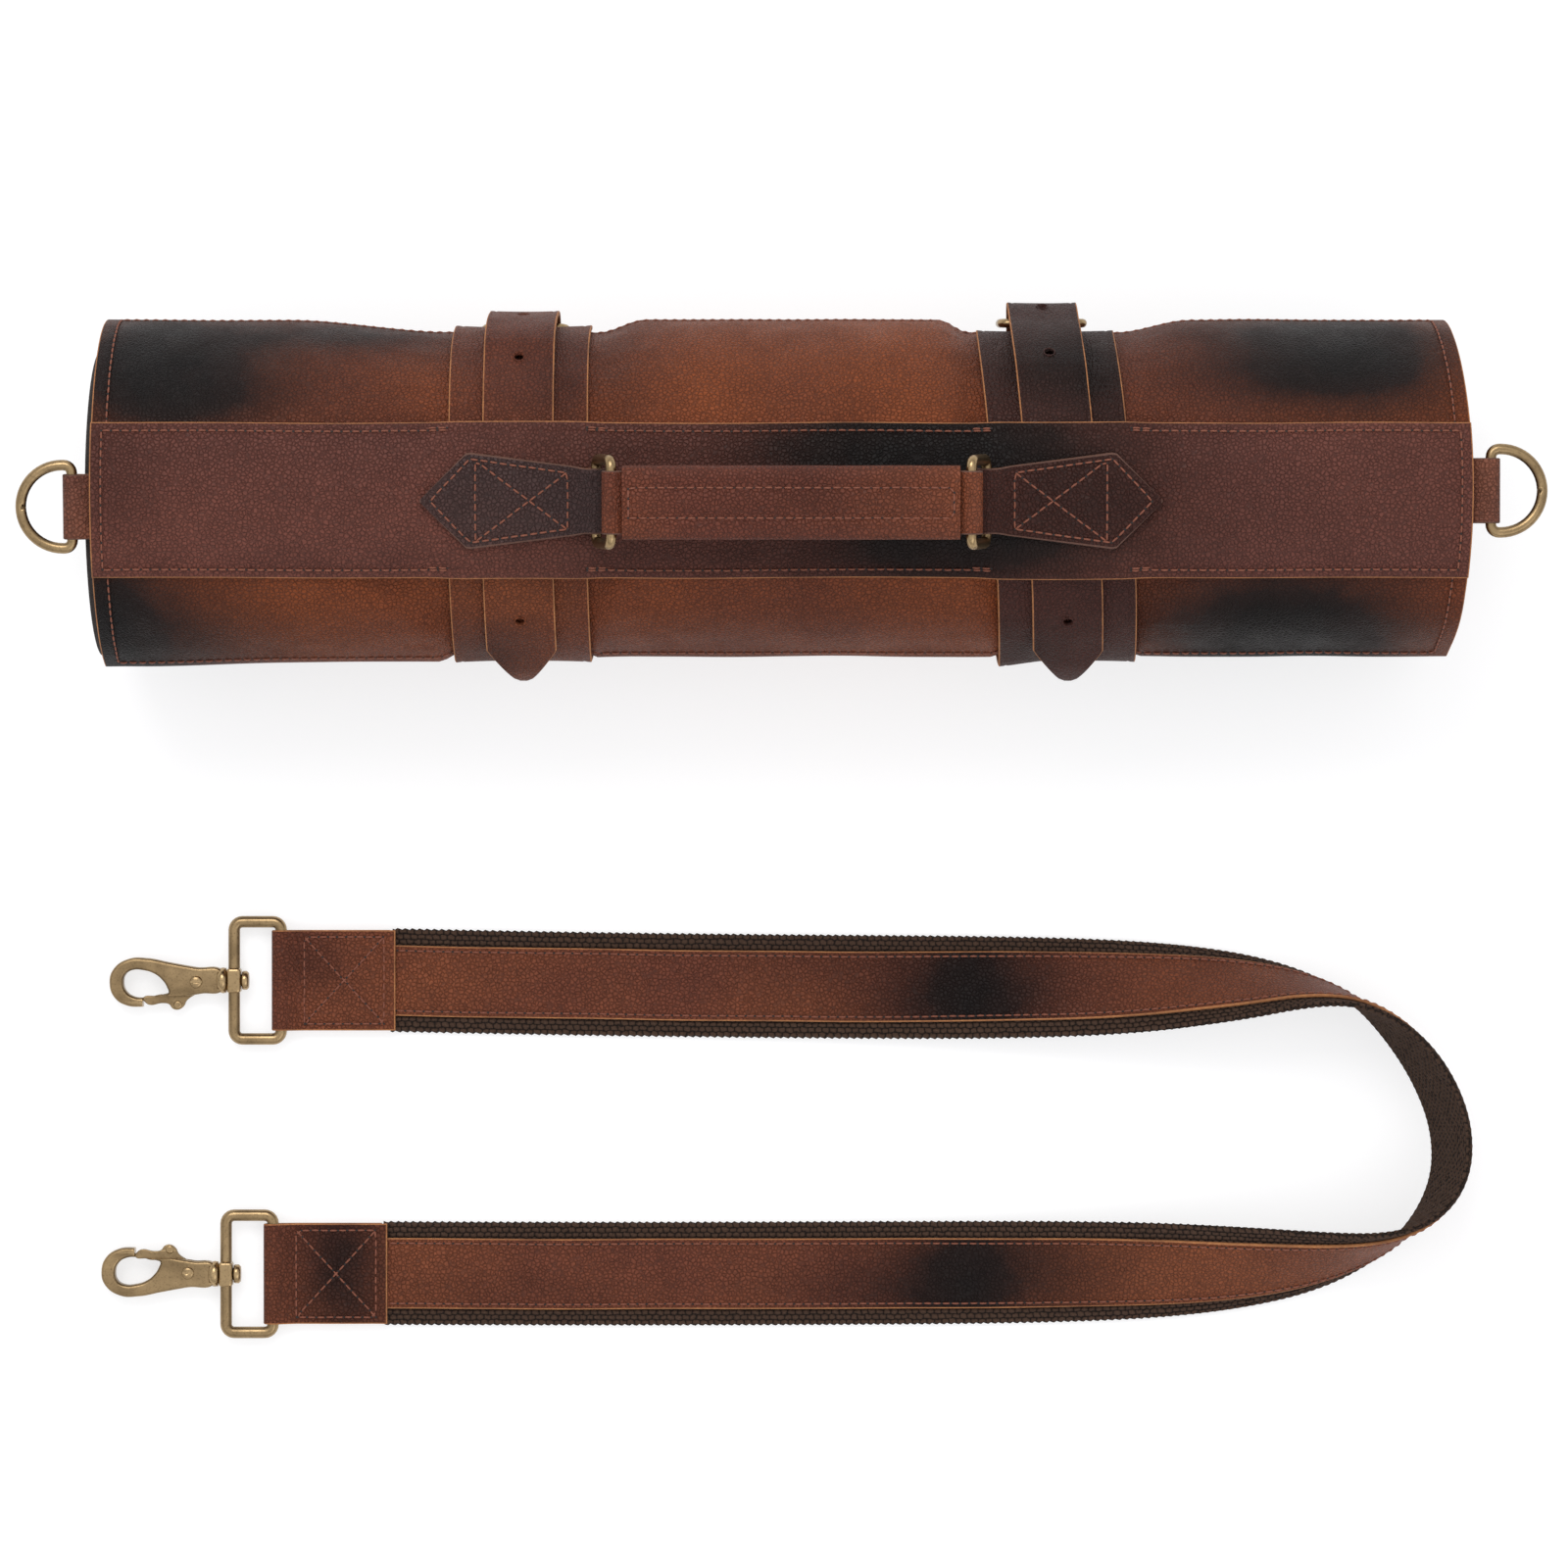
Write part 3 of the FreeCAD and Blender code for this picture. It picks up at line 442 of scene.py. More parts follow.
class Seam:
    """Collects stitches and their needle holes, painted as near-black discs of shade, for one mesh."""

    # Share along the stitch, thickness and lift of the thread's rings
    SHAPE = ((0.08, 0.45, -0.32), (0.2, 0.9, 0.02), (0.5, 1.08, 0.2), (0.8, 0.9, 0.02), (0.92, 0.45, -0.32))

    def __init__(self):
        self.points, self.faces, self.indices = [], [], []

    def add(self, points, faces, index):
        self.points += points
        self.faces += faces
        self.indices += [index] * len(faces)

    def stitch(self, start, end, up):
        run = end - start
        if run.length < 0.4:
            return
        forward = run / run.length
        side_way = forward.cross(up).normalized()
        rise = side_way.cross(forward)
        points = []
        for share, size, lift in self.SHAPE:
            points += circle(start + run * share + rise * lift, side_way, rise, 6, THREAD * size)
        self.add(points, ring_faces(len(self.SHAPE), 6, len(self.points)), 0)
        # Each stitch starts at a near-black disc: painted shade inside the needle hole
        base = len(self.points)
        hole = circle(start + rise * 0.03, forward * 0.5, side_way * 0.36, 6)
        self.add(hole, [tuple(range(base, base + 6))], 1)

    def sew(self, place, corners, lift, slack=1.2):
        """Stitches along straight runs between (u, v) corners on a surface."""
        fine = []
        for (u0, v0), (u1, v1) in zip(corners, corners[1:]):
            steps = max(2, ceil(hypot(u1 - u0, v1 - v0) / slack))
            fine += [(u0 + (u1 - u0) * i / steps, v0 + (v1 - v0) * i / steps) for i in range(steps)]
        fine.append(corners[-1])
        spots = [place(u, v, lift) for u, v in fine]
        ups = [(place(u, v, lift + 0.5) - s).normalized() for (u, v), s in zip(fine, spots)]
        line = Line(spots)
        count = max(1, round(line.length / STITCH))
        holes = []
        for i in range(count + 1):
            at, share = line.locate(line.length * i / count)
            holes.append((spots[at].lerp(spots[at + 1], min(share, 1.0)), ups[at]))
        for (a, up), (b, _) in zip(holes, holes[1:]):
            drift = (b - a).normalized().cross(up) * (0.12 * noise.noise(a * 3.1))
            self.stitch(a + drift, b + drift, up)

    def finish(self, name, body, slot):
        made = new_object(name, self.points, self.faces, [thread, needle_hole_shade], self.indices)
        return finish_piece(made, body, slot)


# ---- materials --------------------------------------------------------------------------

# Makes up for the light that the dark grain takes out of the leather's tones
GRAIN_GAIN = 1.34


def colour(text, gain=1.0):
    """Linear colour from a hex word."""
    channels = [int(text[i:i + 2], 16) / 255 for i in (0, 2, 4)]
    linear_ones = [c / 12.92 if c <= 0.04045 else ((c + 0.055) / 1.055) ** 2.4 for c in channels]
    return (*(gain * c for c in linear_ones), 1.0)


class Nodes:
    """Short ways to add nodes to a tree. Values are constants or other nodes' outputs."""

    def __init__(self, tree):
        self.tree = tree

    def give(self, socket, value):
        if isinstance(value, bpy.types.NodeSocket):
            self.tree.links.new(value, socket)
        else:
            socket.default_value = value

    def node(self, kind, output, values=None, **settings):
        made = self.tree.nodes.new("ShaderNode" + kind)
        for key, value in settings.items():
            setattr(made, key, value)
        for key, value in (values or {}).items():
            self.give(made.inputs[key], value)
        return made.outputs[output]

    def ramp(self, source, low, high, start=0.0, end=1.0):
        return self.node("MapRange", "Result", {"Value": source, "From Min": low, "From Max": high,
                                                "To Min": start, "To Max": end}, clamp=True)

    def maths(self, operation, a, b=0.0):
        return self.node("Math", "Value", {0: a, 1: b}, operation=operation)


class Shader(Nodes):
    """A material, placed by the object's own coordinates."""

    def __init__(self, name):
        self.material = bpy.data.materials.new(name)
        self.material.use_nodes = True
        super().__init__(self.material.node_tree)
        self.surface = self.tree.nodes["Principled BSDF"]
        self.place = self.node("TexCoord", "Object")

    def noise(self, scale, detail=3.0, rough=0.55, distortion=0.0):
        return self.node("TexNoise", "Fac", {"Vector": self.place, "Scale": scale, "Detail": detail,
                                             "Roughness": rough, "Distortion": distortion})

    def mix(self, share, a, b):
        return self.node("Mix", 2, {0: share, 6: a, 7: b}, data_type="RGBA")

    def speckle(self, share, base, light):
        return self.mix(share, colour(base), colour(light))

    def bump(self, height, distance, strength=1.0, under=None):
        values = {"Height": height, "Distance": distance, "Strength": strength}
        if under:
            values["Normal"] = under
        return self.node("Bump", "Normal", values)

    def done(self, base, rough, normal, **others):
        for key, value in {"Base Color": base, "Roughness": rough, "Normal": normal, **others}.items():
            self.give(self.surface.inputs[key.replace("_", " ")], value)
        return self.material


def leather(name, base, light, dark, gloss=0.46):
    """Pull-up leather: warm where stretched, dark where burnished, with a fine grain."""
    s = Shader(name)
    base, light, dark = [colour(tone, GRAIN_GAIN) for tone in (base, light, dark)]
    broad = s.ramp(s.noise(9.0, 2.0, 0.5), 0.36, 0.66)
    medium = s.ramp(s.noise(60.0, 3.0, 0.6), 0.32, 0.75)
    fine = s.ramp(s.noise(900.0, 3.0, 0.65), 0.32, 0.68)
    tone = s.mix(s.maths("MULTIPLY", broad, 1.0), base, light)
    tone = s.mix(s.maths("MULTIPLY", medium, 0.28), tone, dark)
    lines = s.noise(60.0, 6.0, 0.62, 1.6)
    fold = s.ramp(s.maths("ABSOLUTE", s.maths("SUBTRACT", lines, 0.5)), 0.0, 0.035)
    tone = s.mix(s.ramp(fold, 0.0, 1.0, 0.12, 0.0), tone, light)
    mark = s.node("Attribute", "Fac", attribute_name="burnish")
    cloudy = s.maths("ADD", mark, s.ramp(s.noise(90.0, 3.0, 0.6), 0.3, 0.7, -0.04, 0.04))
    scorched = s.speckle(s.ramp(cloudy, 0.35, 0.95), "3b1d15", "080606")
    tone = s.mix(s.ramp(cloudy, 0.03, 0.8), tone, scorched)
    cells = s.node("TexVoronoi", "Distance", {"Vector": s.place, "Scale": 700.0}, feature="DISTANCE_TO_EDGE")
    pores = s.ramp(cells, 0.0, 0.2)
    tone = s.mix(s.ramp(fine, 0.0, 1.0, 0.0, 0.42), tone, colour("120908"))
    tone = s.mix(s.ramp(pores, 0.0, 1.0, 0.4, 0.0), tone, colour("120908"))
    grain = s.bump(fold, 0.00015, 0.2, s.bump(pores, 0.0003, 0.9))
    grain = s.bump(s.noise(2600.0, 2.0), 0.00004, 0.6, grain)
    rough = s.ramp(medium, 0.0, 1.0, gloss, gloss + 0.16)
    return s.done(tone, rough, grain, Specular_IOR_Level=0.15)


def raw_edge(name, base, light):
    """Cut leather edge: pale, fibrous and a little dirty."""
    s = Shader(name)
    fibres = s.ramp(s.noise(700.0, 4.0, 0.7), 0.3, 0.7)
    dirt = s.ramp(s.noise(60.0), 0.45, 0.75)
    tone = s.mix(s.maths("MULTIPLY", dirt, 0.6), s.speckle(fibres, base, light), colour("4a2c1e"))
    return s.done(tone, s.ramp(fibres, 0.0, 1.0, 0.75, 0.95), s.bump(fibres, 0.0002, 0.7))


def woven(name, base, light, scale):
    """Plain weave, from two crossed waves."""
    s = Shader(name)
    values = {"Scale": scale, "Distortion": 0.6, "Vector": s.place}
    waves = [s.node("TexWave", "Fac", values, bands_direction=way) for way in ("X", "Y")]
    speck = s.ramp(s.noise(1800.0, 3.0, 0.7), 0.3, 0.75)
    tone = s.speckle(s.maths("MULTIPLY", speck, 0.7), base, light)
    normal = s.bump(speck, 0.0002, 0.8, s.bump(s.maths("MULTIPLY", *waves), 0.0003, 0.6))
    return s.done(tone, s.ramp(speck, 0.0, 1.0, 0.82, 0.95), normal)


def yarns(name, base, light, gap):
    """Plain weave of thick spun yarn, drawn from the cloth's own (u, v) in mm, with painted shade in the gaps
    between the yarns.
    """
    s = Shader(name)
    cloth = {"Vector": s.node("Attribute", "Vector", attribute_name="cloth")}
    uneven = s.ramp(s.noise(420.0, 2.0), 0.3, 0.7, -0.35, 0.35)
    across, along = [s.maths("DIVIDE", s.maths("ADD", s.node("SeparateXYZ", axis, cloth), uneven), size)
                     for axis, size in (("X", YARN), ("Y", RIB))]
    shift = s.maths("MULTIPLY", s.maths("FLOORED_MODULO", s.maths("FLOOR", across), 2.0), 0.5)
    along = s.maths("ADD", along, shift)
    sines = [s.maths("ABSOLUTE", s.maths("SINE", s.maths("MULTIPLY", t, pi))) for t in (across, along)]
    lump = s.maths("POWER", s.maths("MULTIPLY", *sines), 0.6)
    twist = s.maths("SINE", s.maths("MULTIPLY", s.maths("ADD", along, across), 22.0))
    fuzz = s.ramp(s.noise(1500.0, 4.0, 0.7), 0.3, 0.75)
    # Painted shade: the tone darkens to the gap colour in the hollows between the yarn lumps
    tone = s.mix(s.ramp(lump, 0.68, 0.15), s.speckle(fuzz, base, light), colour(gap))
    normal = s.bump(fuzz, 0.0002, 0.7, s.bump(twist, 0.00008, 0.5, s.bump(lump, 0.0007, 0.9)))
    return s.done(tone, s.ramp(fuzz, 0.0, 1.0, 0.8, 0.95), normal, Specular_IOR_Level=0.2)


def antique_brass(name):
    """Brass with a dark patina left in the hollows and worn bright on the edges."""
    s = Shader(name)
    patina = s.ramp(s.noise(130.0, 3.0, 0.5), 0.3, 0.7, 0.4, 0.95)
    worn = s.ramp(s.node("NewGeometry", "Pointiness"), 0.49, 0.57)
    share = s.maths("MULTIPLY", patina, s.ramp(worn, 0.0, 1.0, 1.0, 0.12))
    tone = s.speckle(share, "b09670", "4f3f2c")
    tone = s.mix(s.ramp(s.noise(1400.0, 2.0), 0.54, 0.72, 0.0, 0.4), tone, colour("3a2f22"))
    normal = s.bump(s.noise(900.0), 0.00004, 0.4)
    return s.done(tone, s.ramp(share, 0.0, 1.0, 0.24, 0.42), normal, Metallic=1.0)


def plain(name, base, light, scale, rough=0.8):
    s = Shader(name)
    speck = s.ramp(s.noise(scale, 4.0, 0.65), 0.3, 0.7)
    rough = s.ramp(speck, 0.0, 1.0, rough - 0.08, rough)
    return s.done(s.speckle(speck, base, light), rough, s.bump(speck, 0.0001, 0.6))


case_leather = leather("case_leather", "62321f", "80401c", "40211a")
band_leather = leather("band_leather", "56312a", "683c32", "3a231f")
brown_leather = leather("brown_leather", "5a2e20", "7b4020", "371f18")
maroon_leather = leather("maroon_leather", "35201d", "492721", "1f1413", 0.42)
patch_leather = leather("patch_leather", "322627", "45302d", "1d1617", 0.4)
tab_leather = leather("tab_leather", "5d3830", "7a4b38", "38221c", 0.5)
grip_leather = leather("grip_leather", "5f3226", "764028", "3e221d", 0.42)
facing_leather = leather("facing_leather", "633526", "784228", "3f231c", 0.48)
tan_edge = raw_edge("tan_edge", "8c5733", "b37a4b")
dark_edge = raw_edge("dark_edge", "472e26", "66463a")
flesh_side = raw_edge("flesh_side", "7a4a2c", "946039")
canvas = woven("canvas", "262120", "3b3330", 520.0)
# 17100d is the painted shade in the gaps between the webbing's yarns
webbing_cloth = yarns("webbing_cloth", "3b2b23", "533f33", "17100d")
brass = antique_brass("antique_brass")
thread = plain("copper_thread", "66372a", "8b523c", 2600.0, 0.75)
# Near-black discs of painted shade in the needle holes
needle_hole_shade = plain("needle_hole_shade", "120c0a", "1d1411", 900.0)
felt = plain("felt", "7d7568", "9a9284", 1500.0, 0.95)
spring_steel = plain("spring_steel", "77797c", "9c9ea1", 700.0, 0.4)

BELT_LOOKS = {"left": (brown_leather, "belt_leather_brown", 11.0),
              "right": (maroon_leather, "belt_leather_maroon", 37.0)}


def sides_of(top, edge=tan_edge):
    """Materials of a sheet of leather: grain side, cut edges and flesh side."""
    return (top, edge, flesh_side)


# ---- the roll ---------------------------------------------------------------------------

def relief(x, degrees, amount):
    """Soft unevenness of wound leather, stronger beside the belts."""
    along = degrees * DEGREE * ROLL_RADIUS
    soft = 0.6 * wave(x, along, 3.0, 62.0) + 0.4 * wave(x, along, 9.0, 24.0)
    drawn = 0.0
    for middle in BELT_MIDDLES:
        away = abs(x - middle) - GROOVE_HALF
        if away > 0:
            drawn += wave(x * 0.25, along * 1.6, middle, 9.0) * bell(away - 9, 12)
    return amount * (soft + 0.9 * drawn)


def panel_place(x, degrees, height):
    radius = ROLL_RADIUS - LEATHER / 2 - pinch(x, degrees)
    rims = bell(degrees - PANEL_HEM, 6) + bell(PANEL_SEAM - degrees, 6)
    under_band = (smooth(BAND_FRONT - 4, BAND_FRONT + 3, degrees)
                  * (1 - smooth(BAND_BACK - 3, BAND_BACK + 4, degrees)))
    lift = relief(x, degrees, 0.42)
    lift += 0.35 * rims * (0.5 + wave(x, degrees, 0, 38.0))
    lift += 0.3 * bell(HALF_LENGTH - abs(x), 9) * wave(x, degrees * 1.1, 5.0, 26.0)
    edge_wave = 0.7 * wave(x, 1.0, degrees, 45.0) * rims
    return on_roll(x, radius + lift * (1 - 0.75 * under_band) + height, degrees + edge_wave / 1.1)


PANEL_INSET, BAND_INSET, BAND_END_INSET = 5.4, 3.4, 4.0
CASE_PATCHES = (
    (-222, 44, 32, 24, 1.0), (-206, 36, 34, 18, 0.6), (-160, 56, 56, 8, 0.75), (-190, 34, 36, 12, 0.35),
    (-240, -52, 26, 34, 1.0), (-206, -56, 40, 24, 0.55), (202, 47, 40, 15, 1.0), (176, 42, 40, 14, 0.6),
    (190, 58, 54, 7, 0.65), (212, 28, 40, 12, 0.4), (176, -54, 40, 28, 1.0), (140, -46, 44, 16, 0.45),
    (206, -50, 30, 20, 0.5), (20, -66, 70, 6, 0.3), (86, 44, 20, 14, 0.5), (-60, 42, 14, 20, 0.3),
)
BAND_PATCHES = (
    (44, 0, 36, 42, 0.95), (14, 14, 46, 16, 0.7), (80, -12, 30, 24, 0.8), (76, 14, 26, 16, 0.7),
    (-8, -24, 60, 8, 0.4), (-66, 4, 34, 30, 0.35), (112, 0, 34, 40, 0.6), (-238, 8, 22, 24, 0.3),
    (-150, -26, 60, 6, 0.15), (240, 18, 12, 18, 0.2),
)


def make_stitched(name, node, leather_used, place, step, edges, inset, end_inset, width, patches):
    """Leather along the roll, pressed in by the rows of stitches round it. Returns where they are."""
    lines = (edges[0] + inset, edges[1] - inset)
    ends = (end_inset - HALF_LENGTH, HALF_LENGTH - end_inset)

    def groove(x, degrees):
        inside = lines[0] - 0.5 < degrees < lines[1] + 0.5 and abs(x) < ends[1] + 0.5
        return 0.3 * max(near(degrees, lines, width), near(x, ends, 0.8)) * inside

    us = ticks(-HALF_LENGTH, HALF_LENGTH, 3.0, ends)
    v_mm = round(edges[2] * DEGREE, 2)
    leather_piece(name, "case", "case_leather", (node,), place, us, ticks(*edges[:2], step, lines),
                  LEATHER, sides_of(leather_used), patches, groove=groove, v_mm=v_mm)
    return lines, ends


def make_panel():
    inset = PANEL_INSET / (ROLL_RADIUS * DEGREE)
    (low, high), (left, right) = make_stitched(
        "outer_panel_leather", "outer_panel", case_leather, panel_place, 2.4,
        (PANEL_HEM, PANEL_SEAM, ROLL_RADIUS), inset, PANEL_INSET, 0.75, CASE_PATCHES)
    seam = Seam()
    seam.sew(panel_place, [(left, low), (right, low), (right, high), (left, high), (left, low)],
             LEATHER / 2, LONG_SEAM)
    seam.finish("outer_panel_stitches", "case", "case_leather")


def wound_place(depth, amount):
    def place(x, degrees, height):
        middle = COVER_RADIUS - PITCH * max(degrees - PITCH_START, 0.0) / 360 - depth - pinch(x, degrees)
        return on_roll(x, middle + height + relief(x, degrees, amount), degrees)
    return place


def make_wound_sheets():
    leather_piece("main_cover_leather", "case", "case_leather", ("main_cover",), wound_place(LEATHER / 2, 0.25),
                  ticks(-HALF_LENGTH, HALF_LENGTH, 7.0), ticks(COVER_START, COVER_END, 5.0),
                  LEATHER, sides_of(case_leather), CASE_PATCHES)
    for name, node, depth, left, right, start, end in (
            ("canvas_lining", "lining", 0.7, -HALF_LENGTH - 2.6, HALF_LENGTH - 3, 90.0, COVER_END - 4),
            ("canvas_pockets", "pocket_panel", 1.9, -234.0, 66.0, 120.0, COVER_END - 20)):
        made = sheet(name, wound_place(LEATHER + depth, 0.2), spread(left, right, 9.0),
                     spread(start, end, 6.0), CANVAS, (canvas,) * 3)
        finish_piece(made, "case", "lining_canvas", node)


def band_place(x, degrees, height):
    ends = bell(HALF_LENGTH - abs(x), 8)
    lift = 0.3 * wave(x, degrees * 1.1, 8.0, 40.0) + 0.25 * ends * wave(x, degrees, 2.0, 14.0)
    for middle in BELT_MIDDLES:
        lift += 0.9 * smooth(BASE_HALF + 8, BASE_HALF - 4, abs(x - middle))
    edge = 0.4 * wave(x, degrees * 0.1, 4.0, 60.0)
    return on_roll(x, BAND_RADIUS - LEATHER / 2 + max(lift, -0.15) + height, degrees + edge)


def make_band():
    inset = BAND_INSET / (BAND_RADIUS * DEGREE)
    lines, ends = make_stitched(
        "spine_band_leather", "spine_band", band_leather, band_place, 2.2,
        (BAND_FRONT, BAND_BACK, BAND_RADIUS), inset, BAND_END_INSET, 0.7, BAND_PATCHES)
    seam = Seam()
    stops = [ends[0], *(m + way * BASE_HALF for m in BELT_MIDDLES for way in (-1, 1)), ends[1]]
    for degrees in lines:
        for start, end in zip(stops[::2], stops[1::2]):
            seam.sew(band_place, [(start, degrees), (end, degrees)], LEATHER / 2, LONG_SEAM)
        for stop, way in zip(stops[1:5], (-1, 1, -1, 1)):
            tack = degrees + 0.75
            seam.sew(band_place, [(stop, tack), (stop + way * 7, tack)], LEATHER / 2)
    for end in ends:
        seam.sew(band_place, [(end, degrees) for degrees in lines], LEATHER / 2)
    seam.finish("spine_band_stitches", "case", "case_leather")


# ---- folds ------------------------------------------------------------------------------

def eye_path(low_tail, high_tail, centre, radius, side):
    """Middle line of a strip that comes in along low_tail, goes round a bar and back out."""
    def tangent(point, way):
        dx, dz = point[0] - centre[0], point[1] - centre[1]
        return atan2(dz, dx) + way * acos(radius / hypot(dx, dz))

    start = tangent(low_tail[-1], side)
    sweep = (tangent(high_tail[0], -side) - start) * side % (2 * pi)
    angles = [start + side * sweep * i / 20 for i in range(21)]
    arc = [(centre[0] + radius * cos(a), centre[1] + radius * sin(a)) for a in angles]
    return low_tail + arc + high_tail


class Fold(Line):
    """A folded strip seen edge-on: at(v, h) is the point v along it and h to its outer side."""

    def __init__(self, *path):
        super().__init__([Vector(p) for p in eye_path(*path)])
        bend = 0.0
        for a, b, c in zip(self.points, self.points[1:], self.points[2:]):
            into, out = (b - a).normalized(), (c - b).normalized()
            bend += atan2(into.x * out.y - into.y * out.x, into.dot(out))
        self.outer = -1 if bend > 0 else 1

    def at(self, v, height):
        before, after = self.spot(max(v - 0.5, 0.0)), self.spot(min(v + 0.5, self.length))
        run = (after - before).normalized()
        return self.spot(v) + Vector((-run.y, run.x)) * (self.outer * height)


# ---- belts ------------------------------------------------------------------------------

def belt_place(middle, skew, radius_at, curl, seed):
    """Surface of a belt strap: u is across it in mm and v the angle round the roll."""
    def place(u, degrees, height):
        bow = 0.22 * wave(u, degrees * 1.1, seed, 30.0) + curl(u, degrees)
        spot = on_roll(0.0, radius_at(degrees) + bow + height, degrees)
        spot.x = middle + u + 0.35 * wave(degrees, seed, 1.0, 40.0) - tan(skew * DEGREE) * spot.y
        return spot
    return place


def strap_tip(degrees):
    """Half width of the strap, which ends in a blunt point at the front."""
    keys = ((-84.0, 1.0), (-82.5, 3.0), (-66.0, STRAP_HALF - 1.2), (-63.5, STRAP_HALF), (STRAP_END, STRAP_HALF))
    return keyed(keys, degrees, linear)


def make_base(side, middle, skew, heel, patches):
    top, slot, seed = BELT_LOOKS[side]
    crease_at = BASE_HALF - 2.6

    def radius_at(degrees):
        on_panel = (smooth(PANEL_HEM - 12, PANEL_HEM, degrees)
                    * (1 - smooth(PANEL_SEAM, PANEL_SEAM + 12, degrees)))
        return BASE_MIDDLE - PANEL_STEP * (1 - on_panel)

    def curl(u, degrees):
        corner = smooth(4, BASE_HALF, -u) * smooth(-70, -84, degrees) * smooth(-104, -88, degrees)
        return 0.5 * (abs(u) / BASE_HALF) ** 4 + (1.8 if side == "right" else 0.3) * corner

    leather_piece("belt_base_leather_" + side, "case", slot, ("belt_base_" + side,),
                  belt_place(middle, skew, radius_at, curl, seed),
                  ticks(-BASE_HALF, BASE_HALF, 3.0, (-crease_at, crease_at)), ticks(BASE_END, heel - 13, 3.0),
                  LEATHER, sides_of(top), patches, v_mm=1.05,
                  groove=lambda u, degrees: 0.22 * near(abs(u), (crease_at,), 0.5))


def make_strap(side, middle, skew, heel, stand_off, patches):
    top, slot, seed = BELT_LOOKS[side]
    radii = ((-82.0, STRAP_ON_BASE), (heel - 56, STRAP_ON_BASE), (heel - 42, STRAP_ON_CHAPE),
             (heel - 17, STRAP_ON_CHAPE), (heel - 1, HEEL_RADIUS + stand_off),
             (heel + 19, STRAP_IN_BUCKLE), (heel + 34, STRAP_AT_BACK), (STRAP_END, STRAP_AT_BACK))

    def curl(u, degrees):
        dish = 0.28 * (abs(u) / STRAP_HALF) ** 3 * (abs(degrees + 4) > 30)
        return 5.0 * smooth(-58, -90, degrees) + dish

    def crease(u, degrees):
        return 0.2 * near(abs(u), (strap_tip(degrees) - 2.1,), 0.45) * (degrees > -62)

    place = belt_place(middle, skew, lambda a: keyed(radii, a), curl, seed + 5)
    us = [u / STRAP_HALF for u in ticks(-STRAP_HALF, STRAP_HALF, 2.2, (-10.4, 10.4))]
    made = sheet("belt_strap_leather_" + side, place, us, ticks(-84.0, STRAP_END, 2.6), LEATHER,
                 sides_of(top), crease, 1.08, strap_tip)
    cutters, rims = [], []
    for degrees in HOLE_ANGLES:
        centre = place(0, degrees, 0)
        outward = place(0, degrees, 1) - centre
        cutters.append(lathe("punch", ((-6, HOLE_RADIUS), (6, HOLE_RADIUS)), centre, outward, dark_edge))
        turns = [t * pi / 12 for t in range(24)]
        rim = [place(2.0 * cos(t), degrees + 2.0 * sin(t) / 1.08, LEATHER / 2 - 0.02) for t in turns]
        rims.append(tube("rim", rim, 0.3, top, True, 8))
    ends = [place(0, heel + turn, 0) for turn in (1, 15)]
    centre = (ends[0] + ends[1]) / 2
    half = Vector((1.7, 7.0, (ends[0] - ends[1]).length / 2))
    cutters.append(bar("prong_slot", centre - half, centre + half, dark_edge))
    cut(made, cutters)
    finish_piece(paint(made, patches), "case", slot, "belt_strap_" + side)
    finish_piece(joined("belt_hole_rims_" + side, rims), "case", slot)


def make_belt(side, middle, skew, heel, stand_off):
    patches = ((middle - 10, -58, 16, 10, 0.5), (middle + 16, 40, 10, 24, 0.4))
    if side == "right":
        patches += ((middle, 44, 34, 22, 0.8), (middle, -44, 30, 16, 0.35))
    make_base(side, middle, skew, heel, patches)
    make_strap(side, middle, skew, heel, stand_off, patches)
    make_buckle(side, middle, tan(skew * DEGREE), heel)


def loop_points(half, depth, near_corner, far_corner):
    """Closed middle line of a wire loop: its bar on the Y axis, the rest at +X."""
    far, close = min(far_corner, half - 0.01), near_corner
    corners = ((close, half - close, close, 180), (depth - far, half - far, far, 90),
               (depth - far, far - half, far, 0), (close, close - half, close, -90))
    points = []
    for x, y, radius, start in corners:
        steps = 6 if radius < 4 else 14
        for i in range(steps + 1):
            turn = (start - 90 * i / steps) * DEGREE
            points.append(Vector((x + radius * cos(turn), y + radius * sin(turn), 0)))
    filled = []
    for a, b in zip(points, points[1:] + points[:1]):
        count = max(1, round((b - a).length / 2.0))
        filled += [a.lerp(b, i / count) for i in range(count)]
    return filled


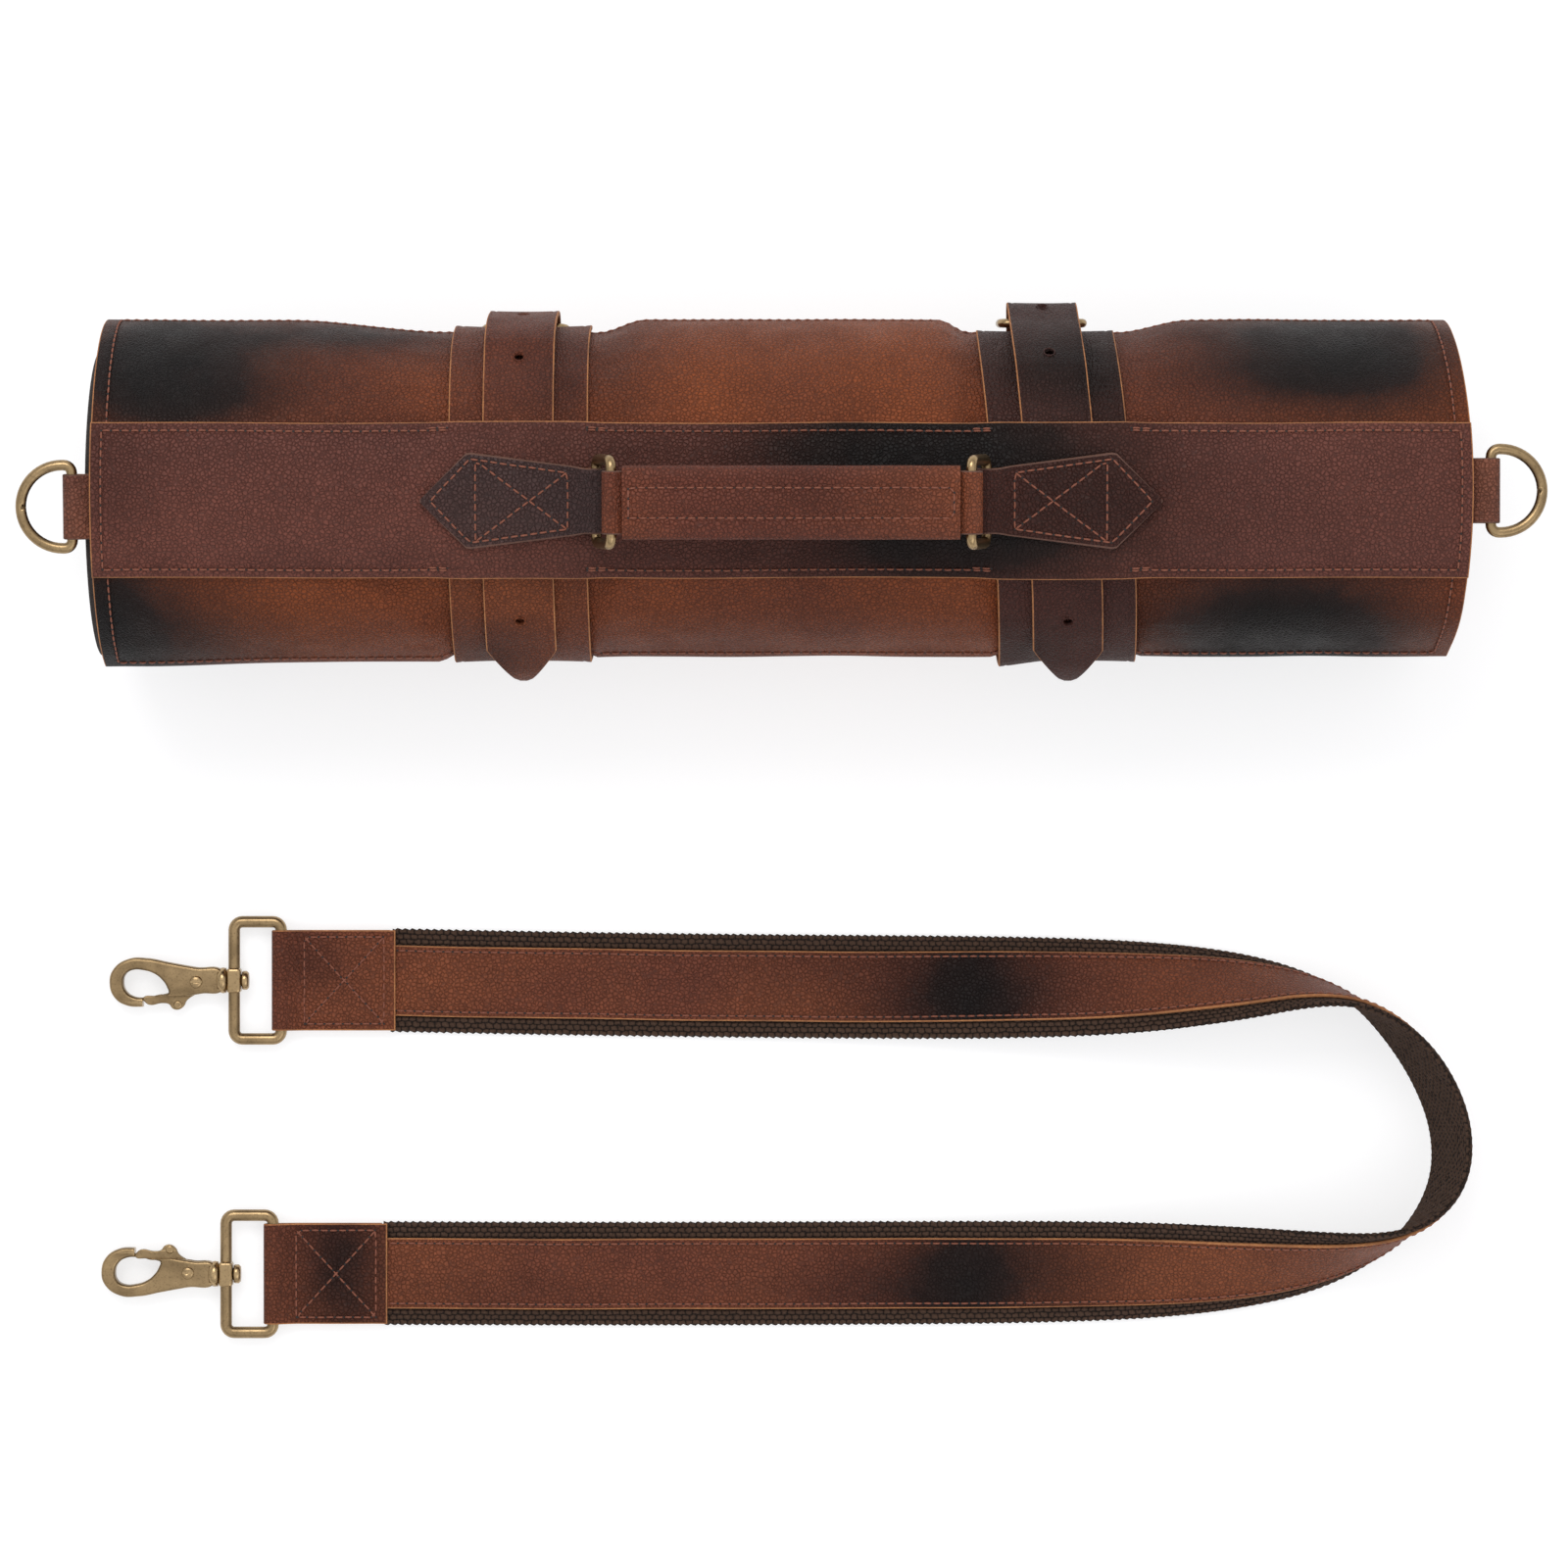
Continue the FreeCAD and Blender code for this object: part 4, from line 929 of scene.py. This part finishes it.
def make_buckle(side, middle, slope, heel):
    top, slot, _ = BELT_LOOKS[side]
    centre = Vector((0, HEEL_RADIUS * sin(heel * DEGREE), AXIS_HEIGHT + HEEL_RADIUS * cos(heel * DEGREE)))
    # The buckle's X runs down the back and its Z points out
    place = (Matrix.Translation((middle - centre.y * slope, centre.y, centre.z))
             @ Matrix.Rotation(-heel * DEGREE, 4, "X") @ Matrix.Rotation(pi / 2, 4, "Z"))
    path = [place @ p for p in loop_points(RING_HALF, BUCKLE_DEPTH, 2.9, 6.5)]
    frame_piece = tube("buckle_wire_" + side, path, BUCKLE_WIRE, brass)
    finish_piece(frame_piece, "buckle_frame_" + side, "antique_brass", "buckle_frame_" + side)
    start = place @ Vector((1.2, 0, 1.1))
    end = place @ Vector((BUCKLE_DEPTH + 2.2, 0, BUCKLE_WIRE + PRONG_WIRE + 0.25))
    pin = tube("pin", [start.lerp(end, i / 14) for i in range(15)],
               lambda t: PRONG_WIRE * (1 - 0.45 * smooth(0.86, 1.0, t)), brass, False, 14)
    eye = lathe("eye", ((-1.5, 2.2), (-1.3, 2.9), (1.3, 2.9), (1.5, 2.2)), place.translation, (1, 0, 0), brass)
    prong = joined("buckle_pin_" + side, [pin, eye])
    finish_piece(prong, "buckle_prong_" + side, "antique_brass", "buckle_prong_" + side)
    lower = BASE_MIDDLE + LEATHER / 2 + 0.1 + THIN / 2
    low_tail = [tuple(on_roll(0, lower, a).yz) for a in spread(heel - 40, heel - 10, 3)]
    high_tail = [tuple(on_roll(0, lower + THIN + 0.05, a).yz) for a in reversed(spread(heel - 40, heel - 9, 3))]
    fold = Fold(low_tail, high_tail, tuple(centre.yz), BUCKLE_WIRE + 0.05 + THIN / 2, 1)

    def place_chape(u, v, height):
        y, z = fold.at(v, height)
        return Vector((middle + u - slope * y, y, z))

    leather_piece("buckle_chape_leather_" + side, "case", slot, ("buckle_chape_" + side,), place_chape,
                  ticks(-CHAPE_HALF, CHAPE_HALF, 3.0), ticks(0.0, fold.length, 1.2), THIN, sides_of(top))


# ---- end rings and handle ---------------------------------------------------------------

def tilt_about_axis(degrees):
    axis_point = UP * AXIS_HEIGHT
    turn = Matrix.Rotation(-degrees * DEGREE, 4, "X")
    return Matrix.Translation(axis_point) @ turn @ Matrix.Translation(-axis_point)


def make_end_rings():
    level = AXIS_HEIGHT + sqrt((ROLL_RADIUS - LEATHER) ** 2 - TAB_HALF ** 2) - 0.15 - THIN - 0.025
    lift = THIN / 2 + 0.025
    stops = (TAB_ROOT_X, TAB_ROOT_X + 12, END_BAR_X - 7)
    fold = Fold([(x, level - lift) for x in stops], [(x, level + lift) for x in reversed(stops)],
                (END_BAR_X, level), RING_WIRE + 0.05 + THIN / 2, 1)
    for side, sign, tilt in END_TABS:
        turn = tilt_about_axis(tilt)

        def place(u, v, height):
            x, z = fold.at(v, height)
            soft = 0.3 * wave(x, u, sign * 9.0, 14.0) * smooth(END_BAR_X - 2, END_BAR_X - 12, x)
            return turn @ Vector((sign * x, u, z + soft))

        leather_piece("end_tab_leather_" + side, "case", "tab_leather", ("end_tab_" + side,), place,
                      ticks(-TAB_HALF, TAB_HALF, 2.4), ticks(0.0, fold.length, 1.2), THIN,
                      sides_of(tab_leather, dark_edge))
        ring = [turn @ Vector((sign * (END_BAR_X + p.x), p.y, level))
                for p in loop_points(RING_HALF, RING_DEPTH, RING_CORNER, RING_HALF)]
        wire = tube("end_ring_wire_" + side, ring, RING_WIRE, brass, sides=20)
        finish_piece(wire, "end_ring_" + side, "antique_brass", "end_ring_" + side)


def patch_half(x):
    return keyed(((HANDLE_BAR - 5, TAB_HALF), (HANDLE_BAR + 4, TAB_HALF), (PATCH_NECK, NECK_HALF),
                  (PATCH_SHOULDER, PATCH_HALF), (PATCH_TIP, 0.4)), x, linear)


def make_patch(side, sign, placed):
    inner = BAND_RADIUS + 0.2
    lower = AXIS_HEIGHT + inner + THIN / 2
    upper = lower + THIN + 0.05
    stops = (PATCH_TIP, PATCH_SHOULDER, PATCH_NECK)
    fold = Fold([(x, lower) for x in (*stops, HANDLE_BAR + 5.5)], [(x, upper) for x in reversed(stops)],
                (HANDLE_BAR, AXIS_HEIGHT + HANDLE_BAR_RADIUS), RING_WIRE + 0.05 + THIN / 2, -1)

    def surface(x, z, u):
        sag = (inner - sqrt(inner ** 2 - u ** 2)) * smooth(HANDLE_BAR + 3, PATCH_NECK + 4, x)
        soft = max(0.22 * wave(x, u, sign * 21.0, 20.0), -0.1) + 0.2 * smooth(PATCH_TIP - 14, PATCH_TIP, x)
        return placed @ Vector((sign * x, u, z - sag + soft))

    def place(u, v, height):
        return surface(*fold.at(v, height), u)

    def on_top(u, x, height):
        return surface(x, upper + height, u)

    inset = 2.4

    def groove(u, v):
        x, z = fold.at(v, 0)
        if z < upper - 0.3 or x < PATCH_NECK - 1:
            return 0.0
        return 0.22 * near(abs(u), (patch_half(x) - inset,))

    top = maroon_leather if side == "right" else patch_leather
    patches = ((104, -4, 44, 34, 0.6),) if side == "right" else ()
    us = [u / TAB_HALF for u in ticks(-TAB_HALF, TAB_HALF, 2.0)]
    leather_piece("handle_patch_leather_" + side, "case", "patch_leather", ("handle_patch_" + side,), place,
                  us, ticks(0.0, fold.length, 1.6), THIN, sides_of(top, dark_edge), patches,
                  groove=groove, half=lambda v: patch_half(fold.at(v, 0)[0]))
    box_end, root = PATCH_SHOULDER - 3, PATCH_NECK + 2
    corner, neck = (PATCH_HALF - inset, PATCH_SHOULDER - 1), NECK_HALF - inset
    wide, narrow = patch_half(box_end) - inset, patch_half(root) - inset
    seam = Seam()
    outline = [corner, (0, PATCH_TIP - 3.6), (-corner[0], corner[1]), (-neck, root), (neck, root), corner]
    cross = ([(-wide, box_end), (wide, box_end), (-narrow, root)], [(-wide, box_end), (narrow, root)])
    for corners in (outline, *cross):
        seam.sew(on_top, corners, THIN / 2)
    seam.finish("handle_patch_stitches_" + side, "case", "patch_leather")


def make_handle():
    placed = Matrix.Translation((HANDLE_X, 0, 0)) @ tilt_about_axis(BAND_TILT)
    lean = Matrix.Rotation((-90 - HANDLE_LEAN) * DEGREE, 4, "Y")
    bar_spot = Vector((HANDLE_BAR, 0, AXIS_HEIGHT + HANDLE_BAR_RADIUS))
    for side, sign in (("left", -1), ("right", 1)):
        make_patch(side, sign, placed)
        spots = [lean @ p + bar_spot for p in loop_points(RING_HALF, RING_DEPTH, RING_CORNER, RING_CORNER)]
        ring = [placed @ Vector((sign * spot.x, spot.y, spot.z)) for spot in spots]
        wire = tube("handle_ring_wire_" + side, ring, RING_WIRE, brass, sides=20)
        finish_piece(wire, "handle_ring_" + side, "antique_brass", "handle_ring_" + side)
    make_grip(placed)


def grip_section(turn, x):
    """Point of the padded grip's outline round X, swollen beside its two rows of stitches."""
    ends = 1 - 0.10 * smooth(GRIP_HALF - 16, GRIP_HALF, abs(x))
    c, s = cos(turn), sin(turn)
    y = GRIP_SIDE * (abs(c) ** GRIP_POWER) * (1 if c > 0 else -1)
    z = GRIP_RISE * (abs(s) ** GRIP_POWER) * (1 if s > 0 else -1)
    across = abs(y)
    pillow = 0.45 * bell(across, 3.0) + 0.35 * bell(across - 9, 2.4)
    row = 0.75 * bell(across - GRIP_ROW, 1.0) * smooth(GRIP_HALF - 1.5, GRIP_HALF - 4, abs(x))
    inward = (pillow - row) * (1 if s > 0 else -1) * smooth(0.1, 0.6, abs(s))
    soft = 0.25 * wave(x, y, z, 15.0)
    return Vector((x, y * (0.985 + 0.015 * ends) + soft * 0.4, (z + inward) * ends + soft * 0.3))


def make_grip(placed):
    level = UP * GRIP_LEVEL
    sides = 56
    # Each end turns in to a hollow
    inside = [(GRIP_HALF, 0.8), (GRIP_HALF - 4, 0.78)]
    loops = [(-x, s) for x, s in reversed(inside)]
    loops += [(x, 1.0) for x in ticks(-GRIP_HALF, GRIP_HALF, 2.0)] + inside
    points = []
    for x, size in loops:
        for k in range(sides):
            p = grip_section(2 * pi * k / sides, x)
            points.append(placed @ (Vector((p.x, p.y * (size * 0.5 + 0.5), p.z * size)) + level))
    indices = [int(i < 2 or i >= len(loops) - 3) for i in range(len(loops) - 1) for _ in range(sides)]
    cover = new_object("grip_cover_leather", points, ring_faces(len(loops), sides),
                       (grip_leather, tan_edge, felt), indices + [2, 2])
    recalculate(cover)
    finish_piece(paint(cover, ((12, -6, 30, 12, 0.3),)), "grip", "grip_leather", "grip_cover", "grip_padding")

    def on_grip(u, x, height):
        top = grip_section(acos(min(1.0, (abs(u) / GRIP_SIDE) ** (1 / GRIP_POWER))), x)
        return placed @ (Vector((x, u, top.z + height)) + level)

    seam = Seam()
    row, end = GRIP_ROW, GRIP_HALF - 2.2
    seam.sew(on_grip, [(-row, -end), (-row, end), (row, end), (row, -end), (-row, -end)], 0.1)
    seam.finish("grip_stitches", "grip", "grip_leather")
    lift = THIN / 2 + 0.025
    neck = GRIP_REACH - 4.2
    stops = (30, neck / 2 + 18, neck)
    for side, sign, clearance, nodes in (("left", -1, 0.05, ("grip_strap",)), ("right", 1, 0.8, ())):
        fold = Fold([(x, GRIP_LEVEL - lift) for x in stops], [(x, GRIP_LEVEL + lift) for x in reversed(stops)],
                    (GRIP_REACH, GRIP_LEVEL), RING_WIRE + clearance + THIN / 2, 1)

        def place(u, v, height):
            x, z = fold.at(v, height)
            return placed @ Vector((sign * x, u, z))

        leather_piece("grip_loop_leather_" + side, "grip", "grip_leather", nodes, place,
                      ticks(-GRIP_STRAP_HALF, GRIP_STRAP_HALF, 2.2), ticks(0.0, fold.length, 1.2), THIN,
                      sides_of(grip_leather, dark_edge))


# ---- shoulder strap ---------------------------------------------------------------------

# Middle of the webbing between the chapes: x, y and how far it is rolled on to its edge, degrees
STRAP_ROUTE = (
    (-0.144, -0.1762, 0.0), (-0.092, -0.1773, 0.0), (-0.038, -0.1781, 0.0), (0.017, -0.1786, 2.0),
    (0.072, -0.1788, 10.0), (0.124, -0.1785, 26.0), (0.165, -0.1777, 50.0), (0.193, -0.1786, 74.0),
    (0.212, -0.184, 91.0), (0.227, -0.1955, 102.0), (0.2385, -0.211, 106.0), (0.2455, -0.229, 106.0),
    (0.2455, -0.247, 103.0), (0.237, -0.262, 94.0), (0.221, -0.2725, 76.0), (0.198, -0.2788, 54.0),
    (0.168, -0.2818, 34.0), (0.130, -0.2832, 16.0), (0.078, -0.284, 4.0), (0.023, -0.2844, 0.0),
    (-0.033, -0.2846, 0.0), (-0.090, -0.2846, 0.0), (-0.147, -0.2844, 0.0),
)
STRAP_PATCHES = (
    (70, -179, 24, 40, 0.84), (48, -186, 34, 14, 0.5), (26, -168, 36, 8, 0.3), (96, -180, 24, 20, 0.35),
    (68, -285, 28, 40, 0.84), (40, -290, 40, 14, 0.45), (104, -282, 30, 20, 0.4), (-95, -292, 40, 8, 0.25),
)


def meshed(name, curve):
    """Mesh that Blender makes of a curve."""
    holder = stand(name, curve)
    bpy.context.view_layer.update()
    mesh = bpy.data.meshes.new_from_object(holder)
    bpy.data.objects.remove(holder)
    return mesh


def route_points(controls):
    """Points read from the NURBS curve through the route's control points."""
    curve = bpy.data.curves.new("route", "CURVE")
    curve.dimensions = "3D"
    curve.resolution_u = 16
    spline = curve.splines.new("NURBS")
    spline.points.add(len(controls) - 1)
    for point, place in zip(spline.points, controls):
        point.co = (*place, 1.0)
    spline.order_u = 3
    spline.use_endpoint_u = True
    return [v.co.copy() for v in meshed("route", curve).vertices]


def webbing_height(roll):
    return (WEBBING_HALF * sin(roll * DEGREE) + WEBBING / 2 * abs(cos(roll * DEGREE)) + 0.4) * MM


class Ribbon(Line):
    """The strap's middle line with its roll, by length along it in mm."""

    def __init__(self):
        self.route = route_points([(x, y, webbing_height(roll)) for x, y, roll in STRAP_ROUTE])
        self.rolls = [r.x for r in route_points([(roll, 0.0, 0.0) for _, _, roll in STRAP_ROUTE])]
        super().__init__([p / MM for p in self.route])

    def place(self, u, v, height):
        i, share = self.locate(v)
        direction = (self.points[min(i + 2, len(self.points) - 1)] - self.points[max(i - 1, 0)]).normalized()
        roll = (self.rolls[i] + (self.rolls[i + 1] - self.rolls[i]) * share) * DEGREE
        inward = direction.cross(UP).normalized()
        across = inward * cos(roll) + UP * sin(roll)
        facing = across.cross(direction).normalized()
        if facing.dot(UP * cos(roll) - inward * sin(roll)) < 0:
            facing = -facing
        return self.spot(v) + across * u + facing * height


def yarn_lump(u, v):
    """Height from 0 to 1 of the webbing's plain weave of thick yarns."""
    column = int((u + 2 * WEBBING_HALF) / YARN)
    along = abs(sin(pi * v / RIB + pi / 2 * (column % 2)))
    return sqrt(along * abs(sin(pi * (u + 2 * WEBBING_HALF) / YARN)))


def make_webbing(ribbon):
    vs = spread(0.0, ribbon.length, RIB / 3)
    us = spread(-WEBBING_HALF, WEBBING_HALF, YARN / 3)

    def weave(u, v, height):
        lump = yarn_lump(u, v) if height > 0 else yarn_lump(u + YARN, v)
        edge = 0.35 * sin(2 * pi * v / RIB) * (abs(u) > WEBBING_HALF - 0.2)
        rise = 0.55 * lump - 0.35
        return ribbon.place(u + edge, v, height + (rise if height > 0 else -rise))

    webbing = sheet("shoulder_webbing", weave, us, vs, WEBBING, (webbing_cloth,) * 3)
    # The cloth's own (u, v) on each vertex of both faces, for the weave's colours and its painted shade between
    # the yarns
    flat = []
    for shift in (0.0, YARN):
        for v in vs:
            for u in us:
                flat += (u + shift + 2 * WEBBING_HALF, v, 0.0)
    webbing.data.attributes.new("cloth", "FLOAT_VECTOR", "POINT").data.foreach_set("vector", flat)
    return finish_piece(webbing, "shoulder_strap", "webbing", "strap_webbing", "strap_ends")


def make_shoulder_strap():
    ribbon = Ribbon()
    webbing = make_webbing(ribbon)
    lift = WEBBING / 2 + 0.1 + THIN / 2
    row = FACING_HALF - 1.9

    def on_facing(u, v, height):
        soft = 0.22 * wave(v, u, 3.0, 26.0)
        return ribbon.place(u + 0.3 * wave(v, 2.0, 2.0, 50.0), v, lift + soft + height)

    facing = leather_piece(
        "shoulder_facing", "shoulder_strap", "strap_leather", ("strap_facing",), on_facing,
        ticks(-FACING_HALF, FACING_HALF, 2.4, (-row, row)), ticks(0.6, ribbon.length - 0.6, 3.0), THIN,
        sides_of(facing_leather), STRAP_PATCHES, groove=lambda u, v: 0.25 * near(abs(u), (row,)))
    seam = Seam()
    for u in (-row, row):
        seam.sew(on_facing, [(u, 2.0), (u, ribbon.length - 2.0)], THIN / 2 - 0.05, LONG_SEAM)
    pieces = [facing, seam.finish("shoulder_facing_stitches", "shoulder_strap", "strap_leather")]
    for name, x, y, gate in STRAP_ENDS:
        pieces += make_chape(name, x, y)
        make_hook(name, x - CHAPE_LENGTH - 5.5, y, gate)
    tuple(ribbon.route[0])
    [tuple(p) for p in ribbon.route]


def make_chape(name, x, y):
    low = THIN / 2 + 0.02
    high = low + THIN + WEBBING + 0.2
    lip = high + 0.45
    first, last = 3 - CHAPE_LENGTH, -2.6
    fold = Fold([(-0.6, low), (-CHAPE_LENGTH / 2, low), (first, low)],
                [(first, high), (-CHAPE_LENGTH / 2, high), (-3.4, high),
                 (-1.6, high + 0.15), (0.0, lip), (1.6, lip)],
                (-CHAPE_LENGTH - 5.5, LOOP_Z), LOOP_WIRE + 0.05 + THIN / 2, -1)
    seed = 3.0 if name == "1" else 8.0

    def surface(at, z, u):
        pleats = 0.07 * sin(at * 3.3) * smooth(first + 2, first - 1, at)
        soft = (0.3 * wave(at, u, seed, 16.0) + pleats) * smooth(low + 1, high, z)
        return Vector((x + at, y + u, z + soft))

    def place(u, v, height):
        return surface(*fold.at(v, height), u)

    def on_top(u, at, height):
        return surface(at, high + height, u)

    row = CHAPE_FOLD_HALF - 2.5

    def groove(u, v):
        at, z = fold.at(v, 0)
        return 0.25 * near(abs(u), (row,)) * (z > high - 0.3 and at > first)

    darker = ((x - 14, y, 20, 40, 0.75),) if name == "2" else ((x - 30, y + 8, 14, 10, 0.35),)
    chape = leather_piece(
        "chape_leather_" + name, "shoulder_strap", "strap_leather", ("strap_chape_" + name,), place,
        ticks(-CHAPE_FOLD_HALF, CHAPE_FOLD_HALF, 2.4, (-row, row)), ticks(0.0, fold.length, 0.6), THIN,
        sides_of(facing_leather), darker, groove=groove)
    seam = Seam()
    box = [(-row, first), (row, first), (row, last), (-row, last), (-row, first)]
    seam.sew(on_top, [*box, (row, last)], THIN / 2)
    seam.sew(on_top, [(-row, last), (row, first)], THIN / 2)
    return [chape, seam.finish("chape_stitches_" + name, "shoulder_strap", "strap_leather")]


# ---- snap hooks -------------------------------------------------------------------------

HOOK_OUTER = (
    (4.0, 3.4), (14.0, 4.9), (24.0, 6.7), (32.0, 8.2), (39.0, 7.9), (44.5, 4.0), (45.8, -1.0),
    (44.0, -6.3), (39.6, -9.2), (34.0, -9.7), (27.0, -9.0), (20.0, -6.4), (12.0, -4.9), (4.0, -3.5),
)
HOOK_EYE = (
    (37.0, 3.9), (33.0, 3.7), (29.5, 2.6), (26.6, 0.4), (24.6, -2.6), (24.2, -4.6), (27.5, -5.2),
    (32.0, -6.1), (36.5, -6.0), (39.6, -4.0), (40.7, -0.7), (39.8, 2.4),
)
GATE_OUTLINE = (
    (11.0, -0.5), (12.0, 1.8), (14.2, 2.2), (16.4, 1.0), (19.0, -2.2), (23.5, -4.4), (29.0, -5.6),
    (33.6, -6.6), (32.9, -7.9), (31.3, -9.0), (26.4, -8.4), (24.0, -8.8), (22.6, -10.4), (20.6, -10.8),
    (18.6, -9.6), (17.4, -7.4), (14.0, -5.0), (11.4, -3.0),
)


def rounded_plate(name, outlines, half, bevel):
    """Cast plate with rounded edges, from closed smooth outlines of (u, v)."""
    curve = bpy.data.curves.new(name, "CURVE")
    curve.dimensions = "2D"
    curve.fill_mode = "BOTH"
    curve.extrude = half - bevel
    curve.bevel_depth = bevel
    curve.bevel_resolution = 4
    curve.offset = -bevel
    curve.resolution_u = 10
    for outline in outlines:
        spline = curve.splines.new("BEZIER")
        spline.bezier_points.add(len(outline) - 1)
        for point, (u, v) in zip(spline.bezier_points, outline):
            point.co = (-u, v, 0)
            point.handle_left_type = point.handle_right_type = "AUTO"
        spline.use_cyclic_u = True
    mesh = meshed(name, curve)
    mesh.transform(Matrix.Scale(MM, 4))
    mesh.materials.clear()
    mesh.materials.append(brass)
    work = bmesh.new()
    work.from_mesh(mesh)
    bmesh.ops.remove_doubles(work, verts=work.verts, dist=0.005 * MM)
    bmesh.ops.recalc_face_normals(work, faces=work.faces)
    for face in work.faces:
        face.smooth = len(face.verts) < 5 and face.normal.z < 0.98
    work.to_mesh(mesh)
    work.free()
    return stand(name, mesh)


def make_hook(name, bar_x, y, gate):
    """Swivel loop, hook, rivet, gate and spring of one snap hook, which points towards -X."""
    swivel = bar_x - LOOP_DEPTH
    loop = [Vector((bar_x - p.x, y + p.y, LOOP_Z)) for p in loop_points(LOOP_HALF, LOOP_DEPTH, 3.0, 3.0)]
    wire = tube("loop_wire", loop, LOOP_WIRE, brass, sides=20)
    centre, size = Vector((swivel, y, LOOP_Z)), Vector((2.6, 4.6, 3.6))
    boss = bar("boss", centre - size, centre + size, brass)
    bevel = boss.modifiers.new("bevel", "BEVEL")
    bevel.width = 1.1 * MM
    bevel.segments = 3
    made = joined("swivel_loop_brass_" + name, [wire, applied(boss)])
    finish_piece(made, "swivel_loop_" + name, "antique_brass", "swivel_loop_" + name)
    placed = Matrix.Translation(centre * MM) @ Matrix.Diagonal((1, gate, 1, 1))

    def put(piece, body, slot, node):
        piece.data.transform(placed)
        if gate < 0:
            piece.data.flip_normals()
        piece.data.update()
        finish_piece(piece, body, slot, node + name)

    plate = rounded_plate("plate", (HOOK_OUTER, HOOK_EYE), HOOK_HALF, 1.3)
    slot = bar("slot", (-30.5, -12, -1.5), (-7.5, 2.9, 1.5), brass)
    gap = bar("gap", (-33.5, -12.0, -5), (-18.2, -5.6, 5), brass)
    cut(plate, [slot, gap])
    turned = [lathe("turned", profile, (0, 0, 0), (1, 0, 0), brass) for profile in (
        ((-6.5, 2.4), (-6.0, 4.3), (-4.2, 4.8), (-2.9, 4.6), (-2.75, 3.0)),
        ((-4, 2.2), (2.9, 2.2), (3.0, 3.3), (3.4, 3.5), (4.7, 3.5), (5.4, 2.8), (5.45, 0.5)))]
    put(joined("hook_casting_" + name, [plate, *turned]), "hook_" + name, "antique_brass", "hook_body_")
    top = HOOK_HALF + 0.7
    half_profile = ((0.02 - HOOK_HALF, RIVET_RADIUS), (-HOOK_HALF, 2.3), (0.35 - top, 2.1), (-top, 1.4))
    profile = (*reversed(half_profile), *((-along, radius) for along, radius in half_profile))
    rivet = lathe("hook_pin_" + name, profile, (-RIVET_U, RIVET_V, 0), UP, brass)
    middle = Vector((-RIVET_U, RIVET_V, top))
    cut(rivet, [bar("groove", middle - Vector((3, 0.3, 0.35)), middle + Vector((3, 0.3, 1)), brass)])
    put(rivet, "hook_" + name, "antique_brass", "hook_rivet_")
    plate = rounded_plate("gate_plate", (GATE_OUTLINE,), GATE_HALF, 0.4)
    knob = lathe("knob", ((-1.36, 0.9), (-1.3, 1.5), (1.3, 1.5), (1.36, 0.9)), (-20.7, -9.0, 0), UP, brass)
    put(joined("hook_gate_brass_" + name, [plate, knob]), "gate_" + name, "antique_brass", "hook_gate_")
    turns = [(2 * pi * i / 20, -0.66 + 1.32 * i / 60) for i in range(61)]
    coil = [Vector((-RIVET_U + 2.0 * cos(t), RIVET_V + 2.0 * sin(t), z)) for t, z in turns]
    spring = tube("gate_coil_" + name, coil, 0.3, spring_steel, False, 8)
    put(spring, "hook_" + name, "spring_steel", "gate_spring_")


# ---- room -------------------------------------------------------------------------------

def area_light(name, place, aim, size, power, tint):
    light = bpy.data.lights.new(name, "AREA")
    light.shape = "RECTANGLE"
    light.size, light.size_y = size
    light.energy = power
    light.color = tint
    holder = stand(name, light)
    holder.location = place
    holder.rotation_euler = (Vector(aim) - Vector(place)).to_track_quat("-Z", "Y").to_euler()


def make_room():
    bpy.ops.mesh.primitive_plane_add(size=12, location=(0, 0, -0.0004))
    floor = bpy.context.object
    floor.name = "floor"
    white = Shader("floor_white")
    for name, value in (("Base Color", (0.42, 0.42, 0.43, 1)), ("Emission Color", (1, 1, 1, 1)),
                        ("Emission Strength", 0.62), ("Roughness", 0.9)):
        white.surface.inputs[name].default_value = value
    floor.data.materials.append(white.material)
    world = bpy.data.worlds.new("room")
    bpy.context.scene.world = world
    world.use_nodes = True
    # White at the horizon, so that the floor has no edge, and dim below the light from above
    room = Nodes(world.node_tree)
    height = room.node("SeparateXYZ", "Z", {"Vector": room.node("TexCoord", "Generated")})
    ramps = [room.ramp(height, *keys) for keys in ((0.12, 0.3, 1.0, 0.5), (0.3, 0.8, 0.5, 1.1))]
    background = room.tree.nodes["Background"]
    room.give(background.inputs["Strength"], room.maths("MAXIMUM", *ramps))
    background.inputs["Color"].default_value = (1, 1, 1, 1)
    area_light("key", (-0.35, 1.1, 1.7), (0, -0.05, 0.05), (1.2, 0.9), 15, (1, 0.98, 0.95))
    area_light("fill", (0.9, -1.3, 1.6), (0, -0.1, 0.05), (1.4, 1.0), 5, (0.97, 0.98, 1))
    camera = bpy.data.cameras.new("camera")
    camera.sensor_width = 36
    camera.lens = 139.8
    holder = stand("camera", camera)
    holder.location = (0.0009, -0.1038, 2.25)
    bpy.context.scene.camera = holder
    bpy.context.scene.view_settings.view_transform = "Standard"


make_panel()
make_wound_sheets()
make_band()
for belt in BELTS:
    make_belt(*belt)
make_end_rings()
make_handle()
make_shoulder_strap()
make_room()
